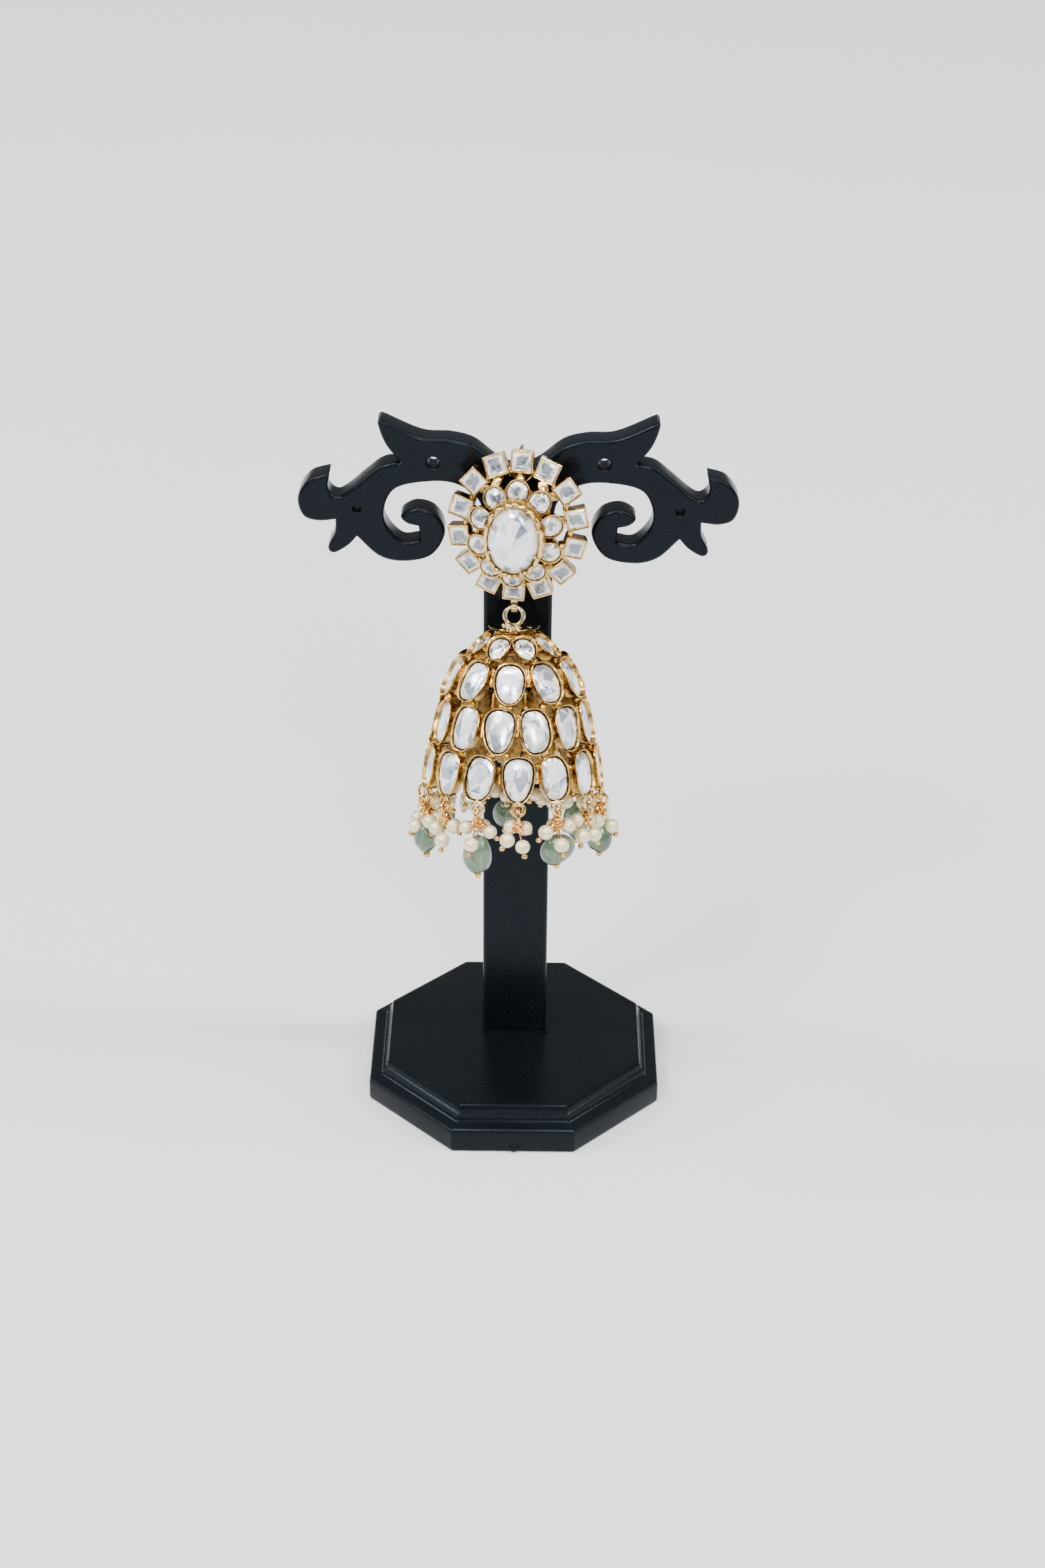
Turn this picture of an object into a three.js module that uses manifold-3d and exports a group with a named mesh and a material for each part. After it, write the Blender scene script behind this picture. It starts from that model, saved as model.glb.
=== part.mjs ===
// A jhumka earring (round stud with a bell-shaped drop and a fringe of pearls) hung on its display stand.
// Millimetres, +Z up. The origin is the centre of the stand's underside and the earring faces -Y.
import * as THREE from 'three';
import { mergeVertices } from 'three/addons/utils/BufferGeometryUtils.js';
import Module from 'manifold-3d';

// ---------- driving dimensions ----------
const GAP = 0.3;
const DEGREE = Math.PI / 180;

const BASE = { acrossFlats: 59.5, height: 8.9, socketDepth: 5 };
// Section of the base's edge: half the width across flats as a share of the whole, at each height.
const BASE_PROFILE = [
  { share: 0.5, z: 0 },
  { share: 0.5, z: 4.4 },
  { share: 0.495, z: 5.1 },
  { share: 0.484, z: 5.4 },
  { share: 0.458, z: 5.6 },
  { share: 0.447, z: 6.1 },
  { share: 0.443, z: 6.9 },
  { share: 0.437, z: 7.9 },
  { share: 0.43, z: 8.6 },
  { share: 0.418, z: 8.9 },
];

const POST = { width: 13.1, thickness: 5.5, front: -0.6, top: 132, corner: 0.7 };

const PLATE = { front: -6.1, back: -0.9, edgeRadius: 0.7, stemBottom: 121 };
const HANGING_HOLES = [
  { x: 15.7, z: 139.7, radius: 1.25 },
  { x: 29.7, z: 130.4, radius: 0.8 },
];
// One side of the scrolled plate, from the saddle in the middle round to the stem: each stretch is a
// smooth curve of [x, z] points, and stretches meet in corners.
const ARM_STRETCHES = {
  wingTop: [[0, 138.2], [1.5, 138.5], [4.2, 139.9], [8.2, 143.1], [12.5, 144.3], [17.9, 144.7], [25.2, 148]],
  wingUnderside: [[25.2, 148], [25.7, 147], [24.3, 143.1], [21.7, 139.8]],
  armTop: [[21.7, 139.8], [25.1, 139.1], [28.4, 136.5], [31.7, 133.6], [33.6, 132.8], [35.1, 134.4], [34.7, 137.5]],
  head: [[34.7, 137.5], [38.4, 136.2], [40.7, 132.6], [39.9, 128.9], [37.2, 127.8], [33.9, 128.1]],
  fin: [[33.9, 128.1], [34.1, 125.4], [35.4, 122.4], [34.3, 121.3], [31.7, 122.8], [30, 124.7]],
  belly: [[30, 124.7], [26, 120.8], [21.5, 119.7], [16.2, 121], [13.6, 125.6], [15.4, 129.5], [18.9, 130.6],
    [21.7, 129], [18.5, 126.9]],
  throat: [[18.5, 126.9], [18.2, 124.1]],
  scroll: [[18.2, 124.1], [21.8, 124], [24.9, 128.5], [23, 134.2], [16.4, 135.9], [11.2, 135.3], [7.4, 132.2],
    [6.5, 128.5]],
};
const ARM_STEP = 2.2;

const STUD = {
  centre: new THREE.Vector3(-0.1, -11.2, 129.35),
  roll: 2.9 * DEGREE,
  yaw: -7.5 * DEGREE,
};
const SQUARES = { count: 14, halfWidth: 11, halfHeight: 13.05, face: 0, side: 4.1, depth: 2.4, tilt: 12 * DEGREE };
const CUPS = { count: 10, halfWidth: 6.9, halfHeight: 8.6, face: -3.7, radius: 1.95, depth: 2.4, tilt: 18 * DEGREE };
const COLLAR = { halfWidth: 5.15, halfHeight: 7.05, face: -6.3, back: -1.6, wall: 0.45, seat: 1.5 };
const WEB_PLATE = { halfWidth: 6.8, halfHeight: 8.6, front: -2.6, back: -1.6 };
const EAR_PIN = { x: -1.8, z: 9.6, radius: 0.45, length: 13.5, padRadius: 1.9, padZ: 10.4 };
const STRAP = { width: 1.1, innerRadius: 0.75, outerRadius: 1.08, thickness: 0.5 };

const BELL = {
  pivot: new THREE.Vector3(-0.63, -9.6, 112.44),
  lean: 17 * DEGREE,
};
const RING = { meanRadius: 1.73, wire: 0.42 };
const CAP = { radius: 4.7, top: -4, thickness: 0.55, lip: 0.4, solderTop: -3.3, solderRadius: 1.7 };
const BEZEL = { depth: 2.2, wall: 0.45, pocket: 1.8, taper: 0.4, outlinePoints: 9 };
// Rows of stones from the cap down: the centre of each rim, how far its face leans up, and its size.
const ROWS = [
  { name: 'crown', count: 8, radius: 6.9, z: -6.7, slope: 47, first: 19.7, halfWidth: 2.35, halfHeight: 2.95,
    shapes: ['pear'] },
  { name: 'shoulder', count: 10, radius: 11.9, z: -12.4, slope: 29, first: -3, halfWidth: 3.05, halfHeight: 4.2,
    shapes: ['egg', 'slab', 'drum', 'shield', 'slab', 'egg', 'slant', 'shield', 'drum', 'slant'] },
  { name: 'waist', count: 13, radius: 14.6, z: -20.9, slope: 14.4, first: -10, halfWidth: 3.1, halfHeight: 4.4,
    shapes: ['shield', 'slab', 'shield', 'drum', 'egg', 'slab', 'slant', 'egg', 'drum', 'shield', 'slab', 'egg',
      'slant'] },
  { name: 'hem', count: 14, radius: 16.5, z: -29.6, slope: 9.9, first: 4, halfWidth: 3.1, halfHeight: 4.45,
    shapes: ['shield', 'slab', 'drum', 'egg', 'slant', 'shield', 'drum', 'slab', 'egg', 'shield', 'drum', 'egg',
      'shield', 'slant'] },
];
// Outlines of the uncut stones: taper widens the top, the two powers square off the left and right
// sides, and lean turns the stone in its setting.
const SHAPES = {
  pear: { taper: 0.2, left: 2, right: 2, lean: 0 },
  egg: { taper: 0.1, left: 2.2, right: 2.2, lean: 0 },
  shield: { taper: 0.22, left: 2.3, right: 2.6, lean: -3 },
  slab: { taper: 0.02, left: 3.6, right: 2.1, lean: 4 },
  slant: { taper: 0.06, left: 3.2, right: 2.2, lean: -9 },
  drum: { taper: 0.04, left: 2.9, right: 2.7, lean: 2 },
};
const BRIDGE = { reach: 4, radius: 0.7, inset: 0.6, sides: 4 };

const EYELET = { meanRadius: 1.07, wire: 0.3, below: 5.4 };
const LINK = { top: -0.2, meanRadius: 1.2, wire: 0.26 };
const CORE = { radius: 1.2, bottom: -6.8 };
const PEARL_RADIUS = 1.45;
// Pearls of a drop, from its eyelet: x across, y towards the bell's middle, z up.
const PEARLS_WITH_BEAD = [
  { x: -2.3, y: 0.3, z: -5 },
  { x: 2.2, y: 0.2, z: -4.6 },
  { x: -0.2, y: -2.2, z: -6.9 },
  { x: 0.3, y: 2.1, z: -4.9 },
];
const PEARLS_ALONE = [
  { x: -1.9, y: -0.6, z: -6.2 },
  { x: 0.8, y: -1.5, z: -7 },
  { x: -1.3, y: 1.1, z: -3.9 },
  { x: 1.5, y: 1, z: -4.8 },
];
// Tumbled beads: half sizes across, in depth and in height, and how far they lean.
const BEADS = {
  tall: { across: 2.7, depth: 2.3, height: 3.9, lean: 4 },
  wide: { across: 3.3, depth: 2.4, height: 2.9, lean: -28 },
  short: { across: 2.6, depth: 2.4, height: 3.3, lean: 10 },
};
const BEAD_ORDER = ['wide', 'short', 'tall', 'short', 'wide', 'short', 'tall'];
const BEAD_TOP = -6;
const PIN_BALL_RADIUS = 0.75;
const BACK_DROP_LEAN = 8 * DEGREE;

// ---------- materials ----------
const black = new THREE.MeshStandardMaterial({ color: 0x0b0d10, roughness: 0.38, metalness: 0 });
const gold = new THREE.MeshStandardMaterial({ color: 0xc9913f, roughness: 0.24, metalness: 1 });
const crystal = new THREE.MeshStandardMaterial({ color: 0xe4e9ee, roughness: 0.08, metalness: 0.5 });
const pearl = new THREE.MeshStandardMaterial({ color: 0xf1e9d2, roughness: 0.3, metalness: 0 });
const greenBead = new THREE.MeshStandardMaterial({ color: 0x9bb5a4, roughness: 0.2, metalness: 0 });

// ---------- geometry helpers ----------
const wasm = await Module();
wasm.setup();

function vector(x, y, z) {
  return new THREE.Vector3(x, y, z);
}

// Closed skin through rings of points, with flat ends; its faces are turned outward.
function loft(rings) {
  const count = rings[0].length;
  const positions = rings.flat().flatMap((p) => [p.x, p.y, p.z]);
  const index = [];
  for (let ring = 0; ring + 1 < rings.length; ring += 1) {
    for (let i = 0; i < count; i += 1) {
      const next = (i + 1) % count;
      const [a, b] = [ring * count + i, ring * count + next];
      index.push(a, b, b + count, a, b + count, a + count);
    }
  }
  const last = (rings.length - 1) * count;
  for (let i = 1; i + 1 < count; i += 1) {
    index.push(0, i + 1, i, last, last + i, last + i + 1);
  }
  const geometry = new THREE.BufferGeometry();
  geometry.setAttribute('position', new THREE.Float32BufferAttribute(positions, 3));
  geometry.setIndex(signedVolume(positions, index) < 0 ? index.reverse() : index);
  return geometry;
}

function signedVolume(positions, index) {
  const corner = (i) => vector(...positions.slice(3 * i, 3 * i + 3));
  let volume = 0;
  for (let i = 0; i < index.length; i += 3) {
    volume += corner(index[i]).dot(corner(index[i + 1]).cross(corner(index[i + 2])));
  }
  return volume;
}

function toSolid(geometry) {
  const bare = geometry.clone();
  bare.deleteAttribute('normal');
  bare.deleteAttribute('uv');
  const merged = mergeVertices(bare, 1e-5);
  return new wasm.Manifold(new wasm.Mesh({
    numProp: 3,
    vertProperties: new Float32Array(merged.attributes.position.array),
    triVerts: new Uint32Array(merged.index.array),
  }));
}

function toGeometry(solid) {
  const mesh = solid.getMesh();
  const geometry = new THREE.BufferGeometry();
  geometry.setAttribute('position', new THREE.Float32BufferAttribute(mesh.vertProperties, 3));
  geometry.setIndex(new THREE.BufferAttribute(mesh.triVerts, 1));
  return geometry;
}

function joined(geometries) {
  return geometries.map(toSolid).reduce((whole, piece) => whole.add(piece));
}

function placed(geometry, matrix) {
  return geometry.clone().applyMatrix4(matrix);
}

function moved(geometry, x, y, z) {
  return geometry.clone().translate(x, y, z);
}

// Straight round bar between two points.
function bar(from, to, radius, sides) {
  const along = to.clone().sub(from);
  const geometry = new THREE.CylinderGeometry(radius, radius, along.length(), sides);
  const turn = new THREE.Quaternion().setFromUnitVectors(vector(0, 1, 0), along.clone().normalize());
  geometry.applyQuaternion(turn);
  return moved(geometry, (from.x + to.x) / 2, (from.y + to.y) / 2, (from.z + to.z) / 2);
}

// Ring of points on an upright oval in the XZ plane.
function oval(halfWidth, halfHeight, y, sides) {
  return Array.from({ length: sides }, (_, i) => {
    const t = (2 * Math.PI * i) / sides;
    return vector(halfWidth * Math.cos(t), y, halfHeight * Math.sin(t));
  });
}

// Outline of an uncut stone or of its setting, as points in the XZ plane at depth y.
function stoneOutline(shapeName, halfWidth, halfHeight, y) {
  const shape = SHAPES[shapeName];
  const roundEnds = 2.3;
  return Array.from({ length: BEZEL.outlinePoints }, (_, i) => {
    const t = (2 * Math.PI * i) / BEZEL.outlinePoints;
    const [c, s] = [Math.cos(t), Math.sin(t)];
    const rise = Math.sign(s) * Math.abs(s) ** (2 / roundEnds);
    const power = c < 0 ? shape.left : shape.right;
    const across = Math.sign(c) * Math.abs(c) ** (2 / power) * (1 + shape.taper * rise);
    const [x, z] = [across * halfWidth, rise * halfHeight];
    const [cl, sl] = [Math.cos(shape.lean * DEGREE), Math.sin(shape.lean * DEGREE)];
    return vector(x * cl - z * sl, y, x * sl + z * cl);
  });
}

// ---------- display stand ----------
function octagon(halfAcross, z) {
  const corner = halfAcross / Math.cos(22.5 * DEGREE);
  return Array.from({ length: 8 }, (_, i) => {
    const t = (22.5 + 45 * i) * DEGREE;
    return vector(corner * Math.cos(t), corner * Math.sin(t), z);
  });
}

function postSection(margin, z) {
  const half = POST.width / 2 + margin;
  const [front, back] = [POST.front - margin, POST.front + POST.thickness + margin];
  const c = POST.corner;
  return [[half - c, front], [half, front + c], [half, back - c], [half - c, back],
    [c - half, back], [-half, back - c], [-half, front + c], [c - half, front]]
    .map(([x, y]) => vector(x, y, z));
}

function makeBase() {
  const block = loft(BASE_PROFILE.map(({ share, z }) => octagon(share * BASE.acrossFlats, z)));
  const socket = loft([postSection(GAP, BASE.height - BASE.socketDepth), postSection(GAP, BASE.height + 1)]);
  return toGeometry(toSolid(block).subtract(toSolid(socket)));
}

function makePost() {
  const foot = BASE.height - BASE.socketDepth + GAP;
  return loft([postSection(0, foot), postSection(0, POST.top)]);
}

// Points a step apart along the stretches of one side of the plate.
function armSide() {
  const points = [];
  for (const stretch of Object.values(ARM_STRETCHES)) {
    const curve = new THREE.SplineCurve(stretch.map(([x, z]) => new THREE.Vector2(x, z)));
    const steps = stretch.length === 2 ? 1 : Math.round(curve.getLength() / ARM_STEP);
    points.push(...curve.getSpacedPoints(steps).slice(0, -1));
  }
  points.push(new THREE.Vector2(...ARM_STRETCHES.scroll.at(-1)));
  points.push(new THREE.Vector2(ARM_STRETCHES.scroll.at(-1)[0], PLATE.stemBottom));
  return points;
}

function makeArms() {
  const right = armSide();
  const left = right.slice(1).reverse().map((p) => new THREE.Vector2(-p.x, p.y));
  const shape = new THREE.Shape([...right, ...left].reverse());
  for (const side of [-1, 1]) {
    for (const { x, z, radius } of HANGING_HOLES) {
      shape.holes.push(new THREE.Path().absarc(side * x, z, radius, 0, 2 * Math.PI, true));
    }
  }
  const bevel = PLATE.edgeRadius;
  const geometry = new THREE.ExtrudeGeometry(shape, {
    depth: PLATE.back - PLATE.front - 2 * bevel,
    bevelThickness: bevel,
    bevelSize: bevel,
    bevelOffset: -bevel,
    bevelSegments: 1,
    curveSegments: 5,
  });
  return geometry.rotateX(Math.PI / 2).translate(0, PLATE.back - bevel, 0);
}

// ---------- stud ----------
// Place of setting k on an oval ring: its radial side tips back by the ring's tilt.
function ringSeat(ring, k) {
  const t = (2 * Math.PI * k) / ring.count;
  const place = vector(ring.halfWidth * Math.sin(t), ring.face, ring.halfHeight * Math.cos(t));
  const polar = Math.atan2(place.x, place.z);
  const [s, c] = [Math.sin(polar), Math.cos(polar)];
  const [st, ct] = [Math.sin(ring.tilt), Math.cos(ring.tilt)];
  const matrix = new THREE.Matrix4().makeBasis(vector(c, 0, -s), vector(-s * st, ct, -c * st), vector(s * ct, st, c * ct));
  return matrix.setPosition(place);
}

function studSettings() {
  const box = new THREE.BoxGeometry(SQUARES.side, SQUARES.depth, SQUARES.side).translate(0, SQUARES.depth / 2, 0);
  const cup = loft([oval(CUPS.radius, CUPS.radius, 0, 8), oval(CUPS.radius, CUPS.radius, CUPS.depth, 8)]);
  const pieces = [];
  for (let k = 0; k < SQUARES.count; k += 1) {
    pieces.push(placed(box, ringSeat(SQUARES, k)));
    const inner = vector(0, SQUARES.depth / 2, 1 - SQUARES.side / 2).applyMatrix4(ringSeat(SQUARES, k));
    const nearest = Math.round((k * CUPS.count) / SQUARES.count);
    const cupBack = vector(0, CUPS.depth - 0.7, 0.8).applyMatrix4(ringSeat(CUPS, nearest));
    pieces.push(bar(inner, cupBack, BRIDGE.radius, BRIDGE.sides));
  }
  for (let k = 0; k < CUPS.count; k += 1) {
    pieces.push(placed(cup, ringSeat(CUPS, k)));
  }
  return pieces;
}

// The flat strap that loops through the bell's ring, about the X axis through the pivot.
function strapEye() {
  const circle = new THREE.Shape().absarc(0, 0, STRAP.outerRadius, 0, 2 * Math.PI, false);
  circle.holes.push(new THREE.Path().absarc(0, 0, STRAP.innerRadius, 0, 2 * Math.PI, true));
  const loop = new THREE.ExtrudeGeometry(circle, { depth: STRAP.width, bevelEnabled: false, curveSegments: 6 });
  loop.translate(0, 0, -STRAP.width / 2).rotateY(Math.PI / 2);
  const tongueBottom = (STRAP.innerRadius + STRAP.outerRadius) / 2;
  const tongueTop = 2.4;
  const tongue = new THREE.BoxGeometry(STRAP.width, STRAP.thickness, tongueTop - tongueBottom);
  return [loop, moved(tongue, 0, 0, (tongueTop + tongueBottom) / 2)];
}

function makeStudFrame(worldToStud) {
  const { halfWidth, halfHeight, face, back, wall, seat } = COLLAR;
  const collar = loft([oval(halfWidth + 0.5, halfHeight + 0.5, back, 16), oval(halfWidth, halfHeight, face, 16)]);
  const web = loft([
    oval(WEB_PLATE.halfWidth, WEB_PLATE.halfHeight, WEB_PLATE.back, 16),
    oval(WEB_PLATE.halfWidth, WEB_PLATE.halfHeight, WEB_PLATE.front, 16),
  ]);
  const pocket = loft([
    oval(halfWidth - wall, halfHeight - wall, face + seat, 16),
    oval(halfWidth - wall, halfHeight - wall, face - 1, 16),
  ]);
  const padBack = SQUARES.depth + 0.5;
  const pad = bar(vector(0, padBack - 1.4, EAR_PIN.padZ), vector(0, padBack, EAR_PIN.padZ), EAR_PIN.padRadius, 12);
  const pinFoot = vector(EAR_PIN.x, padBack - 1, EAR_PIN.z);
  const pin = bar(pinFoot, pinFoot.clone().add(vector(0, EAR_PIN.length, 0)), EAR_PIN.radius, 8);
  const strap = strapEye().map((piece) => {
    const inWorld = moved(piece, BELL.pivot.x, BELL.pivot.y, BELL.pivot.z);
    return placed(inWorld, worldToStud);
  });
  const whole = joined([collar, web, pad, pin, ...studSettings(), ...strap]);
  return toGeometry(whole.subtract(toSolid(pocket)));
}

function makeCentreStone() {
  const { halfWidth, halfHeight, face, wall, seat } = COLLAR;
  const [w, h] = [halfWidth - wall - GAP, halfHeight - wall - GAP];
  return loft([
    oval(w, h, face + seat - GAP, 16),
    oval(w, h, face + 0.1, 16),
    oval(w * 0.72, h * 0.72, face - 0.9, 16),
    oval(w * 0.1, h * 0.1, face - 1.35, 16),
  ]);
}

// ---------- bell ----------
// Place of stone k of a row: X across, Y into the bell, Z up the stone, origin in the rim's plane.
function rowSeat(row, k) {
  const a = (row.first + (360 / row.count) * k) * DEGREE;
  const [s, c] = [Math.sin(a), Math.cos(a)];
  const [ss, cs] = [Math.sin(row.slope * DEGREE), Math.cos(row.slope * DEGREE)];
  const matrix = new THREE.Matrix4().makeBasis(vector(c, s, 0), vector(-s * cs, c * cs, -ss), vector(-s * ss, c * ss, cs));
  return matrix.setPosition(row.radius * s, -row.radius * c, row.z);
}

function bellSettings() {
  return ROWS.flatMap((row) => Array.from({ length: row.count }, (_, k) => ({
    row,
    k,
    shape: row.shapes[k % row.shapes.length],
    seat: rowSeat(row, k),
  })));
}

function settingOutline({ row, shape }, inset, y) {
  return stoneOutline(shape, row.halfWidth - inset, row.halfHeight - inset, y);
}

// Closest points of the walls of each two settings within reach, nearest pair first.
function closeWalls(settings) {
  const middle = vector(0, BEZEL.depth * 0.6, 0);
  const walls = settings.map((setting) => settingOutline(setting, BEZEL.taper * 0.6, middle.y)
    .map((p) => p.applyMatrix4(setting.seat)));
  const centres = settings.map(({ seat }) => middle.clone().applyMatrix4(seat));
  const pairs = [];
  for (let i = 0; i < settings.length; i += 1) {
    for (let j = i + 1; j < settings.length; j += 1) {
      let best = { distance: BRIDGE.reach };
      for (const from of walls[i]) {
        for (const to of walls[j]) {
          const distance = from.distanceTo(to);
          if (distance < best.distance) best = { distance, from, to, i, j, ends: [centres[i], centres[j]] };
        }
      }
      if (best.from) pairs.push(best);
    }
  }
  return pairs.sort((one, other) => one.distance - other.distance);
}

// Solder joints: the shortest ones that tie all settings together.
function solderBridges(settings) {
  const group = settings.map((_, i) => i);
  const bridges = [];
  for (const { from, to, i, j, ends } of closeWalls(settings)) {
    if (group[i] === group[j]) continue;
    const merged = group[j];
    group.forEach((g, n) => {
      if (g === merged) group[n] = group[i];
    });
    const start = from.clone().add(ends[0].clone().sub(from).setLength(BRIDGE.inset));
    const finish = to.clone().add(ends[1].clone().sub(to).setLength(BRIDGE.inset));
    bridges.push(bar(start, finish, BRIDGE.radius, BRIDGE.sides));
  }
  return bridges;
}

// Hanging ring, solder and cap disc at the top of the bell.
function bellTop() {
  const ring = new THREE.TorusGeometry(RING.meanRadius, RING.wire, 6, 14);
  ring.rotateX(Math.PI / 2).translate(0, 0, -RING.meanRadius);
  const { radius, top, thickness, lip, solderTop, solderRadius } = CAP;
  const profile = [[0, top - thickness], [radius - 0.9, top - thickness], [radius, top - lip],
    [radius, top], [radius - 0.7, top - thickness + 0.3], [solderRadius, top - thickness + 0.3],
    [solderRadius * 0.6, solderTop], [0, solderTop]];
  const cap = new THREE.LatheGeometry(profile.map(([x, y]) => new THREE.Vector2(x, y)), 14);
  const neckBottom = -6.2;
  const neck = new THREE.CylinderGeometry(3.4, 4.6, CAP.top - CAP.thickness - neckBottom + 0.2, 14);
  neck.rotateX(Math.PI / 2).translate(0, 0, (CAP.top - CAP.thickness + neckBottom) / 2 + 0.1);
  return [ring, cap.rotateX(Math.PI / 2), neck];
}

function eyeletPlace(k) {
  const hem = ROWS.at(-1);
  const a = (hem.first + (360 / hem.count) * k) * DEGREE;
  const radius = hem.radius + (EYELET.below - 1) * Math.sin(hem.slope * DEGREE) - 0.3;
  return { a, place: vector(radius * Math.sin(a), -radius * Math.cos(a), hem.z - EYELET.below) };
}

function makeBellFrame(settings) {
  const outers = settings.map((setting) => placed(
    loft([settingOutline(setting, 0, 0), settingOutline(setting, BEZEL.taper, BEZEL.depth)]),
    setting.seat,
  ));
  const pockets = settings.filter(({ row }) => row.name !== 'crown').map((setting) => placed(
    loft([settingOutline(setting, BEZEL.wall, -1), settingOutline(setting, BEZEL.wall + BEZEL.taper, BEZEL.pocket)]),
    setting.seat,
  ));
  const eyelets = Array.from({ length: ROWS.at(-1).count }, (_, k) => {
    const { a, place } = eyeletPlace(k);
    const eyelet = new THREE.TorusGeometry(EYELET.meanRadius, EYELET.wire, 4, 7);
    return eyelet.rotateX(Math.PI / 2).rotateZ(a).translate(place.x, place.y, place.z);
  });
  const metal = joined([...outers, ...solderBridges(settings), ...bellTop(), ...eyelets]);
  return toGeometry(metal.subtract(joined(pockets)));
}

function makeBellStone(setting) {
  const girdle = BEZEL.wall + GAP;
  return loft([
    settingOutline(setting, girdle + BEZEL.taper, BEZEL.pocket - GAP),
    settingOutline(setting, girdle, 0.4),
    settingOutline(setting, girdle + setting.row.halfWidth / 2, -0.1),
  ]);
}

// ---------- fringe ----------
function makeDrop(bead) {
  const link = new THREE.TorusGeometry(LINK.meanRadius, LINK.wire, 3, 8);
  link.rotateY(Math.PI / 2).translate(0, 0, LINK.top - LINK.meanRadius);
  const linkBottom = LINK.top - 2 * LINK.meanRadius;
  const pieces = [link, bar(vector(0, 0, linkBottom + 0.2), vector(0, 0, CORE.bottom), CORE.radius, 6)];
  for (const { x, y, z } of bead ? PEARLS_WITH_BEAD : PEARLS_ALONE) {
    pieces.push(moved(new THREE.OctahedronGeometry(PEARL_RADIUS, 1), x, y, z));
  }
  if (bead) {
    const middle = BEAD_TOP - bead.height;
    const stone = new THREE.SphereGeometry(1, 8, 5).rotateX(Math.PI / 2);
    stone.scale(bead.across, bead.depth, bead.height).rotateY(bead.lean * DEGREE);
    const ball = new THREE.OctahedronGeometry(PIN_BALL_RADIUS, 1);
    pieces.push(moved(stone, 0, 0, middle), moved(ball, 0, 0, middle - bead.height - PIN_BALL_RADIUS * 0.6));
  }
  return toGeometry(joined(pieces));
}

// A drop hangs plumb from its eyelet; the ones behind lean clear of the stand's post.
function dropMatrix(k) {
  const { a, place } = eyeletPlace(k);
  const behind = Math.cos(a) < -0.7 ? BACK_DROP_LEAN : 0;
  return new THREE.Matrix4()
    .makeRotationX(BELL.lean)
    .multiply(new THREE.Matrix4().makeRotationZ(a))
    .multiply(new THREE.Matrix4().makeRotationX(behind))
    .setPosition(place);
}

// ---------- assembly ----------
const assembly = new THREE.Group();

function addPiece(group, name, geometry, material) {
  const mesh = new THREE.Mesh(geometry, material);
  mesh.name = name;
  group.add(mesh);
  return mesh;
}

function twoDigits(number) {
  return String(number).padStart(2, '0');
}

addPiece(assembly, 'stand_base', makeBase(), black);
addPiece(assembly, 'stand_post', makePost(), black);
addPiece(assembly, 'stand_arms', makeArms(), black);

const stud = new THREE.Group();
stud.position.copy(STUD.centre);
stud.rotation.set(0, STUD.roll, STUD.yaw, 'ZYX');
stud.updateMatrixWorld(true);
assembly.add(stud);
addPiece(stud, 'stud_frame', makeStudFrame(stud.matrixWorld.clone().invert()), gold);
addPiece(stud, 'stud_centre_stone', makeCentreStone(), crystal);

const bell = new THREE.Group();
bell.position.copy(BELL.pivot);
bell.rotation.x = -BELL.lean;
assembly.add(bell);
const settings = bellSettings();
addPiece(bell, 'bell_frame', makeBellFrame(settings), gold);
for (const setting of settings.filter(({ row }) => row.name !== 'crown')) {
  const name = `${setting.row.name}_stone_${twoDigits(setting.k + 1)}`;
  const stone = addPiece(bell, name, makeBellStone(setting), crystal);
  stone.applyMatrix4(setting.seat);
}
for (let k = 0; k < ROWS.at(-1).count; k += 1) {
  const bead = k % 2 === 1 ? BEADS[BEAD_ORDER[(k - 1) / 2]] : null;
  const kind = bead ? 'bead_drop' : 'pearl_drop';
  const drop = addPiece(bell, `${kind}_${twoDigits(k + 1)}`, makeDrop(bead), bead ? greenBead : pearl);
  drop.applyMatrix4(dropMatrix(k));
}

export default assembly;
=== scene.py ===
"""Looks of a jhumka earring on its display stand. Sizes are in millimetres; meshes are written in metres."""

import random
from math import atan2, copysign, cos, hypot, pi, radians, sin, sqrt, tan

import bmesh
import bpy
import numpy as np
from mathutils import Matrix, Vector
from mathutils.geometry import delaunay_2d_cdt


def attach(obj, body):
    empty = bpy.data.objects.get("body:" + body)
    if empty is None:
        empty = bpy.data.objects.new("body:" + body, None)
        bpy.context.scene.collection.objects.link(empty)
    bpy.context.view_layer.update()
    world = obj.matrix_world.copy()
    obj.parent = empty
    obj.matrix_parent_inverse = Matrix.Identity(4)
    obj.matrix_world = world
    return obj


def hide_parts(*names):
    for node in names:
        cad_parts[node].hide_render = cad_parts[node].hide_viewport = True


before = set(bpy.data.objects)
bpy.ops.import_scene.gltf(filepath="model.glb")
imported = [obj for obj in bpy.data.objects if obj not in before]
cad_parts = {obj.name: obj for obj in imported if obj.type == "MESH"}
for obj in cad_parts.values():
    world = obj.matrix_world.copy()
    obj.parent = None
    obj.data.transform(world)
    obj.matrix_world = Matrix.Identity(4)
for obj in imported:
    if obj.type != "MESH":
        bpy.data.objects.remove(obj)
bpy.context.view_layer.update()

MM = 0.001
OPEN = (False, False)
FLOORED = (False, True)


def put(name, data):
    """A new object in the scene."""
    made = bpy.data.objects.new(name, data)
    bpy.context.scene.collection.objects.link(made)
    return made


def facing(way, axis="Z"):
    """Turns an axis of the piece to point along way."""
    return way.to_track_quat(axis, "Y").to_matrix().to_4x4()


def with_axes(*axes):
    """Turns X, Y and Z to the given axes."""
    return Matrix(axes).transposed().to_4x4()


def spin(angle, axis):
    return Matrix.Rotation(angle, 4, axis)


shift = Matrix.Translation


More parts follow.
